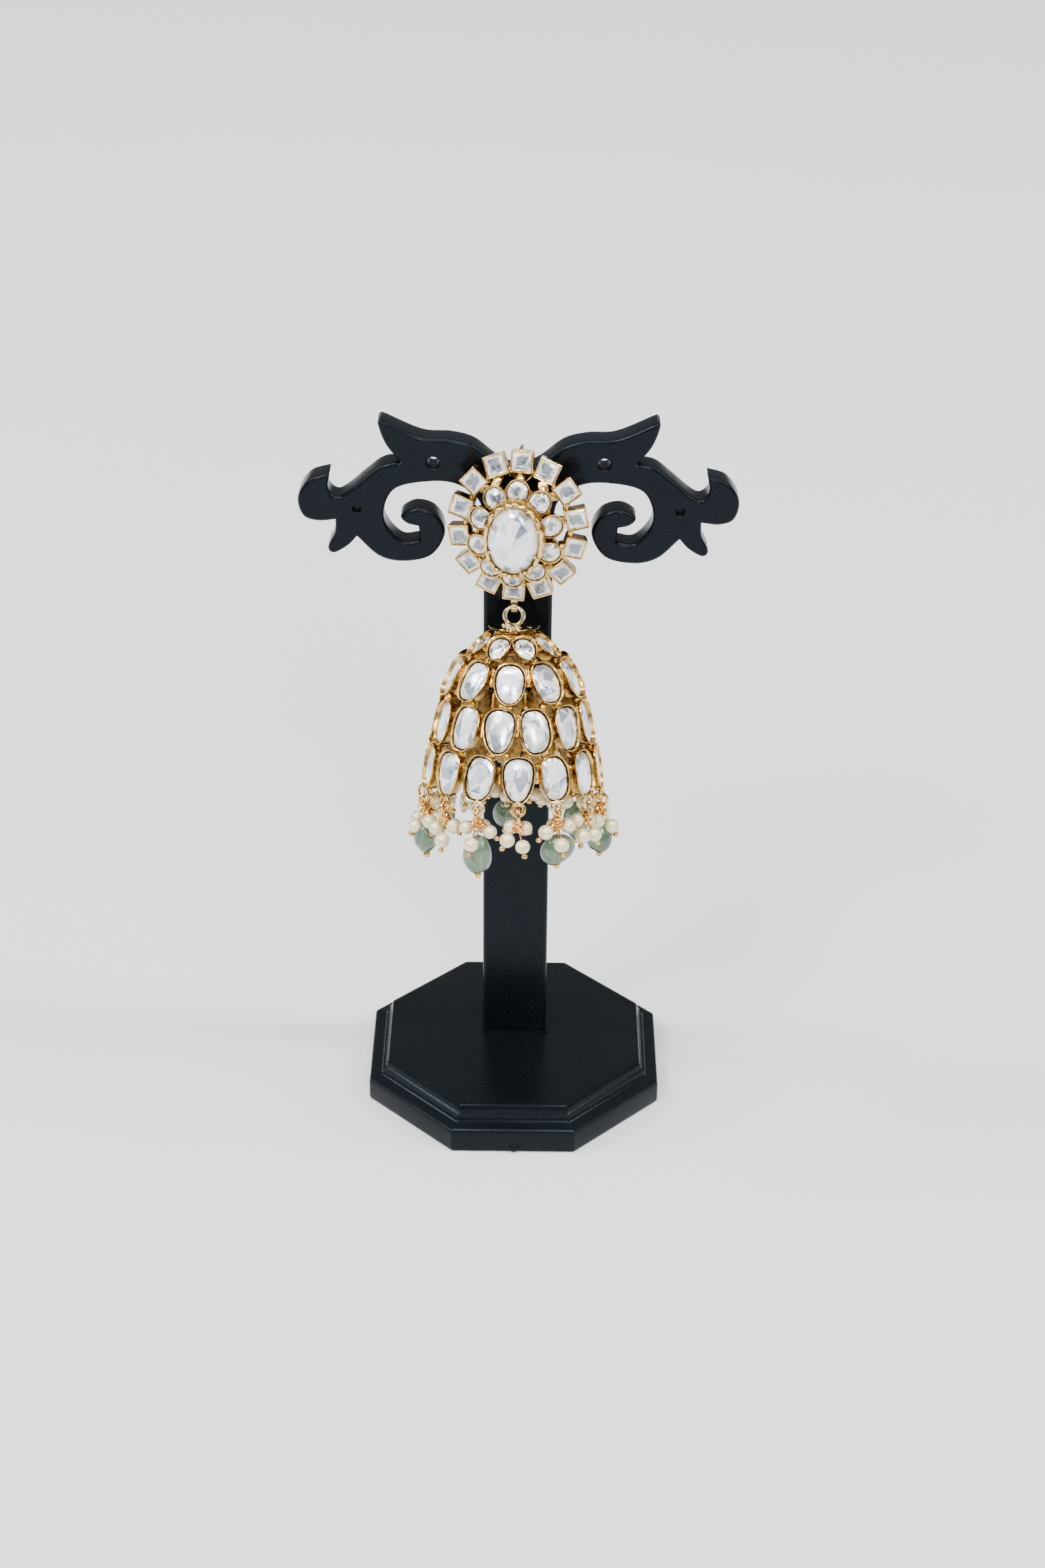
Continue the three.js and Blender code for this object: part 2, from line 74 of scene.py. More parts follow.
# ---------- camera ----------
def aim_camera():
    """In front of the earring and above it, looking 30 degrees down."""
    pitch, yaw, roll = (radians(angle) for angle in (30.17, -0.13, 0.55))
    ahead = Vector((sin(yaw) * cos(pitch), cos(yaw) * cos(pitch), -sin(pitch)))
    level_right = Vector((cos(yaw), -sin(yaw), 0))
    level_up = level_right.cross(ahead)
    right = cos(roll) * level_right + sin(roll) * level_up
    up = cos(roll) * level_up - sin(roll) * level_right
    camera = put("camera", bpy.data.cameras.new("camera"))
    camera.data.sensor_width = 36
    camera.data.lens = 61.2
    camera.data.clip_start = 0.01
    place = with_axes(right, up, -ahead)
    place.translation = Vector((2.26, -457.0, 334.2)) * MM
    camera.matrix_world = place
    bpy.context.scene.camera = camera


aim_camera()


# ---------- finishes ----------
class Value:
    """A socket in a finish; arithmetic on it adds Math nodes."""

    def __init__(self, finish, socket):
        self.finish = finish
        self.socket = socket

    def math(self, operation, *terms):
        return self.finish.node("Math", {"operation": operation}, dict(enumerate(terms)))

    def __add__(self, other):
        return self.math("ADD", self, other)

    def __sub__(self, other):
        return self.math("SUBTRACT", self, other)

    def __mul__(self, other):
        return self.math("MULTIPLY", self, other)


class Nodes:
    """Nodes of a material or of the sky."""

    def __init__(self, owner, shader):
        owner.use_nodes = True
        self.tree = owner.node_tree
        self.shader = self.tree.nodes[shader]

    def node(self, kind, settings=None, sockets=None, output=0):
        """A node with its settings first and then its sockets' values or links."""
        node = self.tree.nodes.new("ShaderNode" + kind)
        for name, value in (settings or {}).items():
            setattr(node, name, value)
        for name, value in (sockets or {}).items():
            if isinstance(value, Value):
                self.tree.links.new(value.socket, node.inputs[name])
            else:
                node.inputs[name].default_value = value
        return Value(self, node.outputs[output])

    def vector(self, operation, *terms):
        return self.node("VectorMath", {"operation": operation}, dict(enumerate(terms)))

    def between(self, value, low, high, start=0.0, end=1.0):
        """value taken smoothly from low..high to start..end."""
        settings = {"interpolation_type": "SMOOTHSTEP"}
        return self.node("MapRange", settings, {0: value, 1: low, 2: high, 3: start, 4: end})

    def blend(self, mask, colour, other):
        return self.node("Mix", {"data_type": "RGBA"}, {0: mask, 6: colour, 7: other}, output=2)

    def vary(self, **links):
        """Links values to the shader's sockets."""
        for socket, value in links.items():
            self.tree.links.new(value.socket, self.shader.inputs[socket.replace("_", " ")])


class Finish(Nodes):
    """A procedural material and its shader."""

    def __init__(self, name, **settings):
        self.material = bpy.data.materials.new(name)
        super().__init__(self.material, "Principled BSDF")
        for socket, value in settings.items():
            self.shader.inputs[socket.replace("_", " ")].default_value = value

    def place(self):
        return self.node("TexCoord", output="Object")

    def noise(self, scale, detail=2.0, roughness=0.5, distortion=0.0, offset=None):
        """Noise whose features are about 1 / scale metres across."""
        where = self.place()
        if offset is not None:
            where = self.vector("ADD", where, offset)
        sockets = {"Vector": where, "Scale": scale, "Detail": detail, "Roughness": roughness,
                   "Distortion": distortion}
        return self.node("TexNoise", sockets=sockets)

    def bump(self, height, distance, strength):
        return self.node("Bump", {}, {"Strength": strength, "Distance": distance, "Height": height})

    def made(self, **links):
        self.vary(**links)
        return self.material


def black_plastic():
    finish = Finish("black_moulded_plastic", Specular_IOR_Level=0.13, Specular_Tint=(0.70, 0.86, 1.0, 1))
    fine = finish.noise(2600, detail=2)
    patches = finish.noise(90, detail=3)
    # Fine lighter specks in the plastic's colour: painted sheen.
    sheen_specks = finish.between(finish.noise(4200, detail=1), 0.56, 0.72)
    tone = finish.blend(patches, (0.002, 0.0027, 0.0036, 1), (0.0034, 0.0044, 0.0058, 1))
    tone = finish.blend(sheen_specks * 0.3, tone, (0.016, 0.019, 0.023, 1))
    peel = finish.noise(1500, detail=1.5)
    return finish.made(
        Base_Color=tone,
        Roughness=finish.between(fine, 0.3, 0.7, 0.16, 0.26) + patches * 0.06,
        Normal=finish.bump(peel + fine * 0.4, 0.00004, 0.35),
    )


def gold(name, bright, deep, smooth, rough, relief, grain):
    """Gilt metal between two colours and two roughnesses, with a cast surface."""
    finish = Finish(name, Metallic=1.0)
    broad = finish.between(finish.noise(420, detail=3, distortion=0.6), 0.35, 0.68)
    worn = finish.between(finish.noise(1300, detail=3), 0.42, 0.62)
    tone = finish.blend(broad, bright, deep)
    tone = finish.blend(worn * 0.12, tone, (0.94, 0.74, 0.40, 1))
    return finish.made(
        Base_Color=tone,
        Roughness=finish.between(worn + broad * 0.5, 0.2, 1.2, smooth, rough),
        Normal=finish.bump(finish.noise(grain, detail=3), relief, 1.0),
    )


SWIRL_REACH = 0.0016
# Colour of the painted shade and painted reflection of the gold rim at the stones' edges.
PAINTED_RIM_SHADE_AND_REFLECTION = (0.50, 0.42, 0.28, 1)


def foiled_stone(name, light, grey_reflection, dark_shade_and_reflection, heart, cell, tilt):
    """Stone over silver foil: facet tones are painted reflections mixed with flaws and clouds, flaws bend
    reflections, heart paints shade in the middle.
    """
    finish = Finish(name, Coat_Weight=1.0, Coat_Roughness=0.02, Coat_IOR=1.55)
    where = finish.place()
    swirl = finish.node("TexNoise", {}, {"Vector": where, "Scale": 600.0, "Detail": 3.0}, "Color")
    bent = finish.vector("MULTIPLY_ADD", swirl, (SWIRL_REACH,) * 3, where)
    cells = finish.node("TexVoronoi", sockets={"Vector": bent, "Scale": cell}, output="Color")
    flaw = finish.node("SeparateColor", sockets={0: cells}, output=1)
    cut = finish.node("Attribute", {"attribute_name": "cut"}, output="Fac")
    middle = finish.node("Attribute", {"attribute_name": "heart"}, output="Fac")
    streaks = finish.noise(1700, detail=3, distortion=1.5)
    # Painted reflections: each facet's tone (cut) mixed with real flaws and cloudy streaks.
    reflection_and_flaw_mix = cut * 0.5 + flaw * 0.26 + streaks * 0.44
    tone = finish.blend(finish.between(reflection_and_flaw_mix, 0.42, 0.72), light, grey_reflection)
    tone = finish.blend(finish.between(reflection_and_flaw_mix, 0.68, 0.88), tone, dark_shade_and_reflection)
    # A darker patch towards the stone's middle: painted shade.
    patch = finish.between(middle + finish.noise(900, detail=3) * 1.3 - 0.65, 0.3, 0.7) * heart
    tone = finish.blend(patch, tone, dark_shade_and_reflection)
    # Painted shade with a painted reflection of the gold rim, at the stone's edge.
    edge = finish.between(middle + streaks * 0.3, 0.14, 0.40, 0.6, 0.0)
    tone = finish.blend(edge, tone, PAINTED_RIM_SHADE_AND_REFLECTION)
    turned = finish.vector("SUBTRACT", cells, (0.5, 0.5, 0.5))
    flat = finish.node("NewGeometry", output="Normal")
    normal = finish.vector("NORMALIZE", finish.vector("MULTIPLY_ADD", turned, (tilt,) * 3, flat))
    return finish.made(
        Base_Color=tone,
        Metallic=finish.between(cut + flaw * 0.4, 0.3, 1.2, 0.15, 0.75),
        Roughness=finish.between(streaks, 0.3, 0.7, 0.08, 0.26),
        Normal=normal,
    )


def seed_pearl():
    finish = Finish("seed_pearl", Metallic=0.3, Coat_Weight=0.9, Coat_Roughness=0.07, Coat_IOR=1.6)
    drift = finish.noise(260, detail=2)
    tone = finish.blend(finish.between(drift, 0.35, 0.65), (0.84, 0.73, 0.42, 1), (0.75, 0.66, 0.41, 1))
    tone = finish.blend(finish.between(finish.noise(800, offset=(0.3, 0.1, 0.2)), 0.5, 0.75) * 0.4, tone,
                        (0.80, 0.68, 0.50, 1))
    return finish.made(
        Base_Color=tone,
        Roughness=finish.between(drift, 0.3, 0.7, 0.22, 0.34),
        Normal=finish.bump(finish.noise(900, detail=1), 0.00006, 0.5),
    )


def green_bead():
    finish = Finish("cloudy_green_bead", Transmission_Weight=0.5, IOR=1.45, Coat_Weight=0.6,
                    Coat_Roughness=0.05)
    cloud = finish.between(finish.noise(330, detail=4, roughness=0.6, distortion=0.8), 0.36, 0.66)
    flecks = finish.between(finish.noise(1900, detail=3), 0.58, 0.72)
    tone = finish.blend(cloud, (0.09, 0.17, 0.105, 1), (0.21, 0.30, 0.195, 1))
    tone = finish.blend(flecks * 0.35, tone, (0.56, 0.60, 0.44, 1))
    return finish.made(
        Base_Color=tone,
        Roughness=finish.between(cloud, 0.0, 1.0, 0.14, 0.30),
        Normal=finish.bump(finish.noise(420, detail=2), 0.00012, 0.5),
    )


plastic = black_plastic()
# Bright and deep colour, least and most roughness, height of the relief in metres, and its grain.
GOLDS = {
    "rim_gold": ((0.90, 0.60, 0.20, 1), (0.56, 0.31, 0.065, 1), 0.12, 0.24, 0.00004, 1500),
    # Darker copy of the gilt for walls set back between the rims: painted shade.
    "painted_shade_wall_gold": ((0.52, 0.30, 0.055, 1), (0.22, 0.11, 0.015, 1), 0.16, 0.30, 0.00005, 900),
    "solder_gold": ((0.86, 0.57, 0.17, 1), (0.48, 0.27, 0.05, 1), 0.12, 0.28, 0.00010, 1100),
    "pale_gold": ((0.82, 0.72, 0.46, 1), (0.58, 0.46, 0.22, 1), 0.10, 0.26, 0.00005, 1300),
    "rose_gold": ((0.90, 0.54, 0.19, 1), (0.56, 0.29, 0.065, 1), 0.10, 0.22, 0.00003, 1400),
    # Darker copy of the gilt for the walls and floors inside the settings round the stones: painted shade.
    "painted_shade_inner_gold": ((0.66, 0.42, 0.13, 1), (0.38, 0.21, 0.045, 1), 0.2, 0.36, 0.00005, 1200),
    # Much darker copy of the gilt for the settings' backs inside the bell: painted shade.
    "painted_shade_back_gold": ((0.25, 0.135, 0.027, 1), (0.10, 0.048, 0.008, 1), 0.24, 0.4, 0.00005, 1100),
}
METALS = [gold(name, *look) for name, look in GOLDS.items()]
RIM, WALL_SHADE, SOLDER, PALE, ROSE, INNER_SHADE, BACK_SHADE = range(len(METALS))
# Stone tones: WHITE and the silvers paint the facets' reflections; STEEL and SHADOW paint dark reflections
# and the shade in the stones' middles.
WHITE, SILVER, STEEL = (1.0, 1.0, 1.0, 1), (0.74, 0.79, 0.85, 1), (0.36, 0.43, 0.52, 1)
WARM_SILVER, SHADOW = (0.86, 0.84, 0.78, 1), (0.20, 0.22, 0.25, 1)
bell_stone = foiled_stone("foiled_stone", WHITE, SILVER, STEEL, 0.12, 290.0, 0.3)
stud_stone = foiled_stone("small_foiled_stone", WHITE, WARM_SILVER, SHADOW, 1.0, 800.0, 0.42)
clear_stone = foiled_stone("clear_centre_stone", WHITE, SILVER, STEEL, 0.0, 230.0, 0.2)
pearl = seed_pearl()
bead = green_bead()


# ---------- shapes ----------
def turns(count, first=0):
    """Angles of count even steps round a circle."""
    return (2 * pi * (i + first) / count for i in range(count))


def bands(steps, count, ring_count):
    """Faces between rings of count points; the step after the last ring comes back to the first."""
    faces = []
    for step in range(steps):
        here, there = step * count, (step + 1) % ring_count * count
        for i in range(count):
            j = (i + 1) % count
            faces.append((here + i, here + j, there + j, there + i))
    return faces


def weld(mesh):
    """Joins points that coincide and turns the faces outward."""
    tidy = bmesh.new()
    tidy.from_mesh(mesh)
    bmesh.ops.remove_doubles(tidy, verts=tidy.verts, dist=1e-7)
    bmesh.ops.recalc_face_normals(tidy, faces=tidy.faces)
    tidy.to_mesh(mesh)
    tidy.free()


class Shape:
    """Points and faces of one piece, gathered in millimetres."""

    def __init__(self):
        self.points = []
        self.hearts = []
        self.faces = []
        self.finishes = []
        self.flats = []
        self.cuts = {}

    def add(self, points, faces, finish=0, flat=False, hearts=None, cuts=None):
        """cuts are tones of the faces, from 0 to 1, that stones use for painted reflections."""
        first = len(self.points)
        self.cuts.update({len(self.faces) + i: cut for i, cut in enumerate(cuts or [])})
        self.points += [Vector(p) for p in points]
        self.hearts += hearts or [0.0] * len(points)
        self.faces += [[first + i for i in face] for face in faces]
        self.finishes += [finish] * len(faces)
        self.flats += [flat] * len(faces)

    def skin(self, rings, finish=0, closed=False, caps=(True, True)):
        """Skin through rings of points, with caps at both ends; closed joins the last ring to the first."""
        count = len(rings[0])
        steps = len(rings) if closed else len(rings) - 1
        faces = bands(steps, count, len(rings))
        if caps[0] and not closed:
            faces.append(list(range(count)))
        if caps[1] and not closed:
            faces.append([steps * count + i for i in range(count)])
        self.add([p for ring in rings for p in ring], faces, finish)

    def tube(self, path, radius, finish, sides):
        """Round wire along a path of points; radius may be one for each point."""
        path = [Vector(p) for p in path]
        across = None
        rings = []
        for i, point in enumerate(path):
            ahead = (path[min(i + 1, len(path) - 1)] - path[max(i - 1, 0)]).normalized()
            across = ahead.orthogonal() if across is None else across - across.dot(ahead) * ahead
            across.normalize()
            side = ahead.cross(across)
            girth = radius[i] if isinstance(radius, list) else radius
            rings.append([point + girth * (cos(t) * across + sin(t) * side) for t in turns(sides)])
        self.skin(rings, finish)

    def hoop(self, place, mean_radius, wire, finish, around, sides, squash=1.0):
        """Ring of wire about the Y axis of place."""
        rings = []
        for t in turns(around):
            out = Vector((cos(t), 0, sin(t) * squash))
            rings.append([place @ (out * (mean_radius + wire * cos(s)) + Vector((0, wire * sin(s), 0)))
                          for s in turns(sides)])
        self.skin(rings, finish, closed=True)

    def ball(self, place, radii, finish=0, rows=8, around=12, lumps=0.0, rng=None):
        """Ball or lump; radii are along the axes of place."""
        points = []
        for row in range(1, rows):
            polar = pi * row / rows
            for t in turns(around):
                swell = 1 + (rng.uniform(-lumps, lumps) if rng else 0)
                points.append(place @ Vector((
                    radii[0] * sin(polar) * cos(t) * swell,
                    radii[1] * sin(polar) * sin(t) * swell,
                    radii[2] * cos(polar) * swell,
                )))
        faces = bands(rows - 2, around, rows - 1)
        top, last = len(points), (rows - 2) * around
        for i in range(around):
            j = (i + 1) % around
            faces += [(i, j, top), (last + j, last + i, top + 1)]
        poles = [place @ Vector((0, 0, side * radii[2])) for side in (1, -1)]
        self.add(points + poles, faces, finish)

    def piece(self, name, body, slot, finishes, replaced=(), sharp=38):
        mesh = bpy.data.meshes.new(name)
        mesh.from_pydata([p * MM for p in self.points], [], self.faces)
        for finish in finishes:
            mesh.materials.append(finish)
        mesh.polygons.foreach_set("material_index", self.finishes)
        mesh.polygons.foreach_set("use_smooth", [not flat for flat in self.flats])
        heart = mesh.attributes.new("heart", "FLOAT", "POINT")
        heart.data.foreach_set("value", self.hearts)
        # Each face's painted reflection tone, read by the stone finishes.
        cut = mesh.attributes.new("cut", "FLOAT", "FACE")
        cut.data.foreach_set("value", [self.cuts.get(i, 0.5) for i in range(len(self.faces))])
        weld(mesh)
        mesh.set_sharp_from_angle(angle=radians(sharp))
        made = put(name, mesh)
        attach(made, body)
        if replaced:
            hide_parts(*replaced)


def cut_stone(points):
    """Facets of the convex stone through the given points, as points and faces."""
    stone = bmesh.new()
    corners = [stone.verts.new(p) for p in points]
    bmesh.ops.convex_hull(stone, input=corners)
    loose = [v for v in stone.verts if not v.link_faces]
    bmesh.ops.delete(stone, geom=loose, context="VERTS")
    bmesh.ops.dissolve_limit(stone, angle_limit=radians(2.5), verts=stone.verts, edges=stone.edges)
    stone.verts.index_update()
    made = [v.co.copy() for v in stone.verts], [[v.index for v in f.verts] for f in stone.faces]
    stone.free()
    return made


def circle(radius, y, sides, squash=1.0):
    return [Vector((radius * cos(t), y, radius * squash * sin(t))) for t in turns(sides)]


def moved(place, ring):
    return [place @ p for p in ring]


def make_walls(metal, layers, ring):
    """Skins through the rings of each layer's section, in the layer's finish."""
    for section, finish, caps in layers:
        metal.skin([ring(*step) for step in section], finish, caps=caps)


# ---------- display stand ----------
BASE = {"across_flats": 59.5, "corner": 0.9}
# Section of the base's edge: share of the width across flats, and height.
BASE_PROFILE = [
    (0.494, 0.0), (0.4985, 0.25), (0.5, 0.7), (0.5, 4.1), (0.499, 4.6), (0.4965, 4.95), (0.491, 5.2),
    (0.484, 5.32), (0.468, 5.4), (0.4605, 5.5), (0.456, 5.72), (0.4525, 6.1), (0.4505, 6.6), (0.4495, 6.9),
    (0.4455, 7.05), (0.4425, 7.25), (0.4405, 7.7), (0.438, 8.2), (0.434, 8.6), (0.428, 8.83), (0.418, 8.9),
]
POST = {"width": 13.1, "thickness": 5.5, "front": -0.6, "foot": 8.85, "top": 132, "corner": 0.9}
# A low rim on the base round the post, and the nib that moulding leaves on the base's front.
SOCKET = {"rim": 0.5, "corner": 0.8, "section": ((1, 8.8), (1, 9.1), (0.985, 9.2))}
GATE = {"x": 0.2, "z": 0.95, "radii": (0.95, 0.45, 0.85)}
PLATE = {"front": -6.1, "back": -0.9, "edge": 0.75, "hole_edge": 0.4, "stem_bottom": 121, "steps": 7}
HANGING_HOLES = [(15.7, 139.7, 1.15), (29.9, 130.4, 0.75)]
# One side of the scrolled plate as stretches of (x, z) points that meet in corners.
ARM_STRETCHES = {
    "wing_top": [(0, 138.2), (1.5, 138.5), (4.2, 139.9), (8.2, 143.1), (12.5, 144.3), (17.9, 144.7),
                 (25.2, 148)],
    "wing_underside": [(25.2, 148), (25.7, 147), (24.3, 143.1), (21.7, 139.8)],
    "arm_top": [(21.7, 139.8), (25.1, 139.1), (28.4, 136.5), (31.7, 133.6), (33.6, 132.8), (35.1, 134.4),
                (34.7, 137.5)],
    "head": [(34.7, 137.5), (38.4, 136.2), (40.7, 132.6), (39.9, 128.9), (37.2, 127.8), (33.9, 128.1)],
    "fin": [(33.9, 128.1), (34.1, 125.4), (35.4, 122.4), (34.3, 121.3), (31.7, 122.8), (30, 124.7)],
    "belly": [(30, 124.7), (26, 120.8), (21.5, 119.7), (16.2, 121), (13.6, 125.6), (15.4, 129.5),
              (18.9, 130.6), (21.7, 129), (20.7, 127.5), (18.5, 126.9)],
    "throat": [(18.5, 126.9), (18.2, 124.1)],
    "scroll": [(18.2, 124.1), (21.8, 124), (24.9, 128.5), (23, 134.2), (16.4, 135.9), (11.2, 135.3),
               (7.4, 132.2), (6.5, 128.5)],
}


def rounded_polygon(corners, radius, z, steps=4):
    """Corners of a convex outline rounded off, at height z."""
    points = []
    for i, corner in enumerate(corners):
        before, after = corners[i - 1], corners[(i + 1) % len(corners)]
        inward, outward = (before - corner).normalized(), (after - corner).normalized()
        half = inward.angle(outward) / 2
        reach = radius / tan(half)
        middle = corner + (inward + outward).normalized() * (radius / sin(half))
        start, end = corner + inward * reach - middle, corner + outward * reach - middle
        for s in range(steps + 1):
            arm = radius * start.slerp(end, s / steps).normalized()
            points.append(Vector((*(middle + arm), z)))
    return points


def octagon(half_across, z, corner):
    reach = half_across / cos(radians(22.5))
    angles = (radians(22.5 + 45 * i) for i in range(8))
    return rounded_polygon([Vector((reach * cos(a), reach * sin(a))) for a in angles], corner, z)


def post_corners(rim=0.0):
    """Corners of the post's section, or of one that is wider by rim all round."""
    half, front, back = POST["width"] / 2 + rim, POST["front"] - rim, POST["front"] + POST["thickness"] + rim
    return [Vector((half, front)), Vector((half, back)), Vector((-half, back)), Vector((-half, front))]


def make_base():
    base = Shape()
    rings = [octagon(share * BASE["across_flats"], z, BASE["corner"]) for share, z in BASE_PROFILE]
    base.skin(rings)
    edge = post_corners(SOCKET["rim"])
    base.skin([rounded_polygon([p * share for p in edge], SOCKET["corner"], z)
               for share, z in SOCKET["section"]])
    gate = shift((GATE["x"], -BASE["across_flats"] / 2, GATE["z"]))
    base.ball(gate, GATE["radii"], 0, 10, 16)
    base.piece("octagonal_base", "root", "stand_plastic", [plastic], ["stand_base"], sharp=26)


def make_post():
    post = Shape()
    edge = post_corners()
    middle = Vector((0, (edge[0].y + edge[1].y) / 2))
    rings = []
    top = POST["top"]
    for inset, z in ((0, POST["foot"]), (0, 60), (0, top - 0.8), (0.2, top - 0.25), (0.75, top)):
        corners = [p + (middle - p).normalized() * inset * 1.4 for p in edge]
        rings.append(rounded_polygon(corners, POST["corner"], z, 6))
    post.skin(rings)
    post.piece("post", "root", "stand_plastic", [plastic], ["stand_post"], sharp=30)


def smooth_stretch(points, per_span):
    """Catmull-Rom points along a stretch, without its last point."""
    if len(points) == 2:
        return [Vector(points[0])]
    ends = [Vector(p) for p in points]
    ends = [2 * ends[0] - ends[1], *ends, 2 * ends[-1] - ends[-2]]
    made = []
    for a, b, c, d in zip(ends, ends[1:], ends[2:], ends[3:]):
        for s in range(per_span):
            t = s / per_span
            made.append(0.5 * (2 * b + (c - a) * t + (2 * a - 5 * b + 4 * c - d) * t * t
                               + (3 * b - a - 3 * c + d) * t ** 3))
    return made


def plate_borders():
    """Outlines of the plate and of its holes, with their edge radii; the plate lies on the left of each."""
    right = [p for stretch in ARM_STRETCHES.values() for p in smooth_stretch(stretch, PLATE["steps"])]
    last = Vector(ARM_STRETCHES["scroll"][-1])
    right += [last, Vector((last.x, PLATE["stem_bottom"]))]
    left = [Vector((-p.x, p.y)) for p in reversed(right[1:])]
    borders = [([*reversed(right + left)], PLATE["edge"])]
    for x, z, radius in HANGING_HOLES:
        for side in (-1, 1):
            hole = [Vector((side * x + radius * cos(t), z - radius * sin(t))) for t in turns(28)]
            borders.append((hole, PLATE["hole_edge"]))
    return borders


def distance_to(border, spots):
    """Distance of each spot to a closed outline."""
    starts = np.array(border)
    spans = np.roll(starts, -1, axis=0) - starts
    away = spots[:, None, :] - starts[None, :, :]
    share = np.clip((away * spans).sum(axis=2) / (spans * spans).sum(axis=1), 0, 1)
    return np.linalg.norm(away - share[:, :, None] * spans, axis=2).min(axis=1)


def rounded_depths(borders, spots):
    """How far the plate's face lies back at each spot, where it rounds off towards an outline."""
    depths = np.zeros(len(spots))
    for border, radius in borders:
        reach = np.clip(radius - distance_to(border, spots), 0, radius)
        depths = np.maximum(depths, radius - np.sqrt(radius * radius - reach * reach))
    return depths


def make_arms():
    """Scrolled plate, drilled, with its edges rounded off in front and behind."""
    borders = plate_borders()
    spots = [p for border, _ in borders for p in border]
    links, first = [], 0
    for border, _ in borders:
        links += [(first + i, first + (i + 1) % len(border)) for i in range(len(border))]
        first += len(border)
    for border, radius in borders:
        for step in range(1, 7):
            inset = radius * (1 - cos(pi / 2 * step / 6))
            inner = []
            for before, point, after in zip([border[-1], *border], border, [*border[1:], border[0]]):
                ahead = (after - before).normalized()
                inner.append(point + Vector((-ahead.y, ahead.x)) * inset)
            places = np.array(inner)
            clear = np.min([distance_to(other, places) for other, _ in borders], axis=0)
            spots += [p for p, gap in zip(inner, clear) if gap > 0.96 * inset]
    corners, _, faces, sources, _, _ = delaunay_2d_cdt(spots, links, [], 1, 1e-6)
    made_from = {source: i for i, group in enumerate(sources) for source in group}
    middles = [sum((corners[i] for i in face), Vector((0, 0))) / 3 for face in faces]
    faces = [face for face, m in zip(faces, middles)
             if all(hypot(abs(m.x) - x, m.y - z) > radius * 0.99 for x, z, radius in HANGING_HOLES)]
    depths = rounded_depths(borders, np.array(corners))
    count = len(corners)
    front = [Vector((p.x, PLATE["front"] + depth, p.y)) for p, depth in zip(corners, depths)]
    back = [Vector((p.x, PLATE["back"] - depth, p.y)) for p, depth in zip(corners, depths)]
    arms = Shape()
    arms.add(front + back, faces + [[count + i for i in face] for face in faces])
    arms.flats = [max(depths[i] for i in face) < 1e-6 for face in faces] * 2
    walls = [(made_from[i], made_from[j]) for i, j in links]
    arms.faces += [[i, j, count + j, count + i] for i, j in walls]
    arms.finishes += [0] * len(walls)
    arms.flats += [False] * len(walls)
    arms.piece("scrolled_arms", "root", "stand_plastic", [plastic], ["stand_arms"], sharp=32)


# ---------- stones and settings ----------
# How the top widens, how square the left and right sides are, and how far the stone leans, in degrees.
STONE_SHAPES = {
    "pear": {"taper": 0.2, "left": 2.0, "right": 2.0, "lean": 0},
    "egg": {"taper": 0.1, "left": 2.2, "right": 2.2, "lean": 0},
    "shield": {"taper": 0.22, "left": 2.3, "right": 2.6, "lean": -3},
    "slab": {"taper": 0.02, "left": 3.6, "right": 2.1, "lean": 4},
    "slant": {"taper": 0.06, "left": 3.2, "right": 2.2, "lean": -9},
    "drum": {"taper": 0.04, "left": 2.9, "right": 2.7, "lean": 2},
}
ROUND_ENDS = 2.3
OUTLINE_POINTS = 36


def stone_outline(name, half_width, half_height, y, count):
    shape = STONE_SHAPES[name]
    lean = Matrix.Rotation(-radians(shape["lean"]), 3, "Y")
    points = []
    for t in turns(count):
        c, s = cos(t), sin(t)
        rise = copysign(abs(s) ** (2 / ROUND_ENDS), s)
        power = shape["left"] if c < 0 else shape["right"]
        across = copysign(abs(c) ** (2 / power), c) * (1 + shape["taper"] * rise)
        points.append(lean @ Vector((across * half_width, 0, rise * half_height)) + Vector((0, y, 0)))
    return points


def add_facets(shape, place, girdle, heights, rng, girdle_y, dome, flats, inner, reach):
    """An irregularly cut stone: girdle points and points on a low dome, as their convex hull."""
    middle = sum(girdle, Vector()) / len(girdle)
    points = [Vector((p.x, girdle_y, p.z)) for p in girdle]
    turn = rng.uniform(0, 2 * pi)
    for count, share, lift in ((flats, reach, 1.0), (inner, reach * 0.45, 0.66)):
        for i in range(count):
            t = turn + 2 * pi * (i + rng.uniform(-0.28, 0.28)) / count
            away = share * rng.uniform(0.86, 1.12)
            way = Vector((cos(t), 0, sin(t)))
            spoke = max((p - middle for p in girdle), key=lambda s: s.normalized().dot(way))
            spot = middle + spoke * away
            rise = lift * dome * (1 - away * away) * rng.uniform(0.96, 1.04)
            points.append(Vector((spot.x, girdle_y - rise, spot.z)))
    points.append(middle + Vector((0, heights - middle.y, 0)))
    corners, faces = cut_stone(points)
    # Each facet's painted reflection tone.
    cuts = [rng.random() for _ in faces]
    shape.add(moved(place, corners), faces, 0, True, inwardness(corners, girdle, middle), cuts)


def inwardness(points, girdle, middle):
    """1 at the middle of an outline and 0 on it, for each point."""
    def spoke(point):
        return Vector((point.x - middle.x, 0, point.z - middle.z))

    shares = []
    for point in points:
        away = spoke(point)
        nearest = max(girdle, key=lambda g: spoke(g).normalized().dot(away.normalized()))
        shares.append(max(0.0, 1 - away.length / spoke(nearest).length))
    return shares


# ---------- stud ----------
STUD_PLACE = shift((-0.1, -11.2, 129.35)) @ spin(radians(-7.5), "Z") @ spin(radians(2.9), "Y")
SQUARES = {"count": 14, "half_width": 11.0, "half_height": 13.05, "face": 0.0, "tilt": 12, "side": 4.1,
           "depth": 2.4}
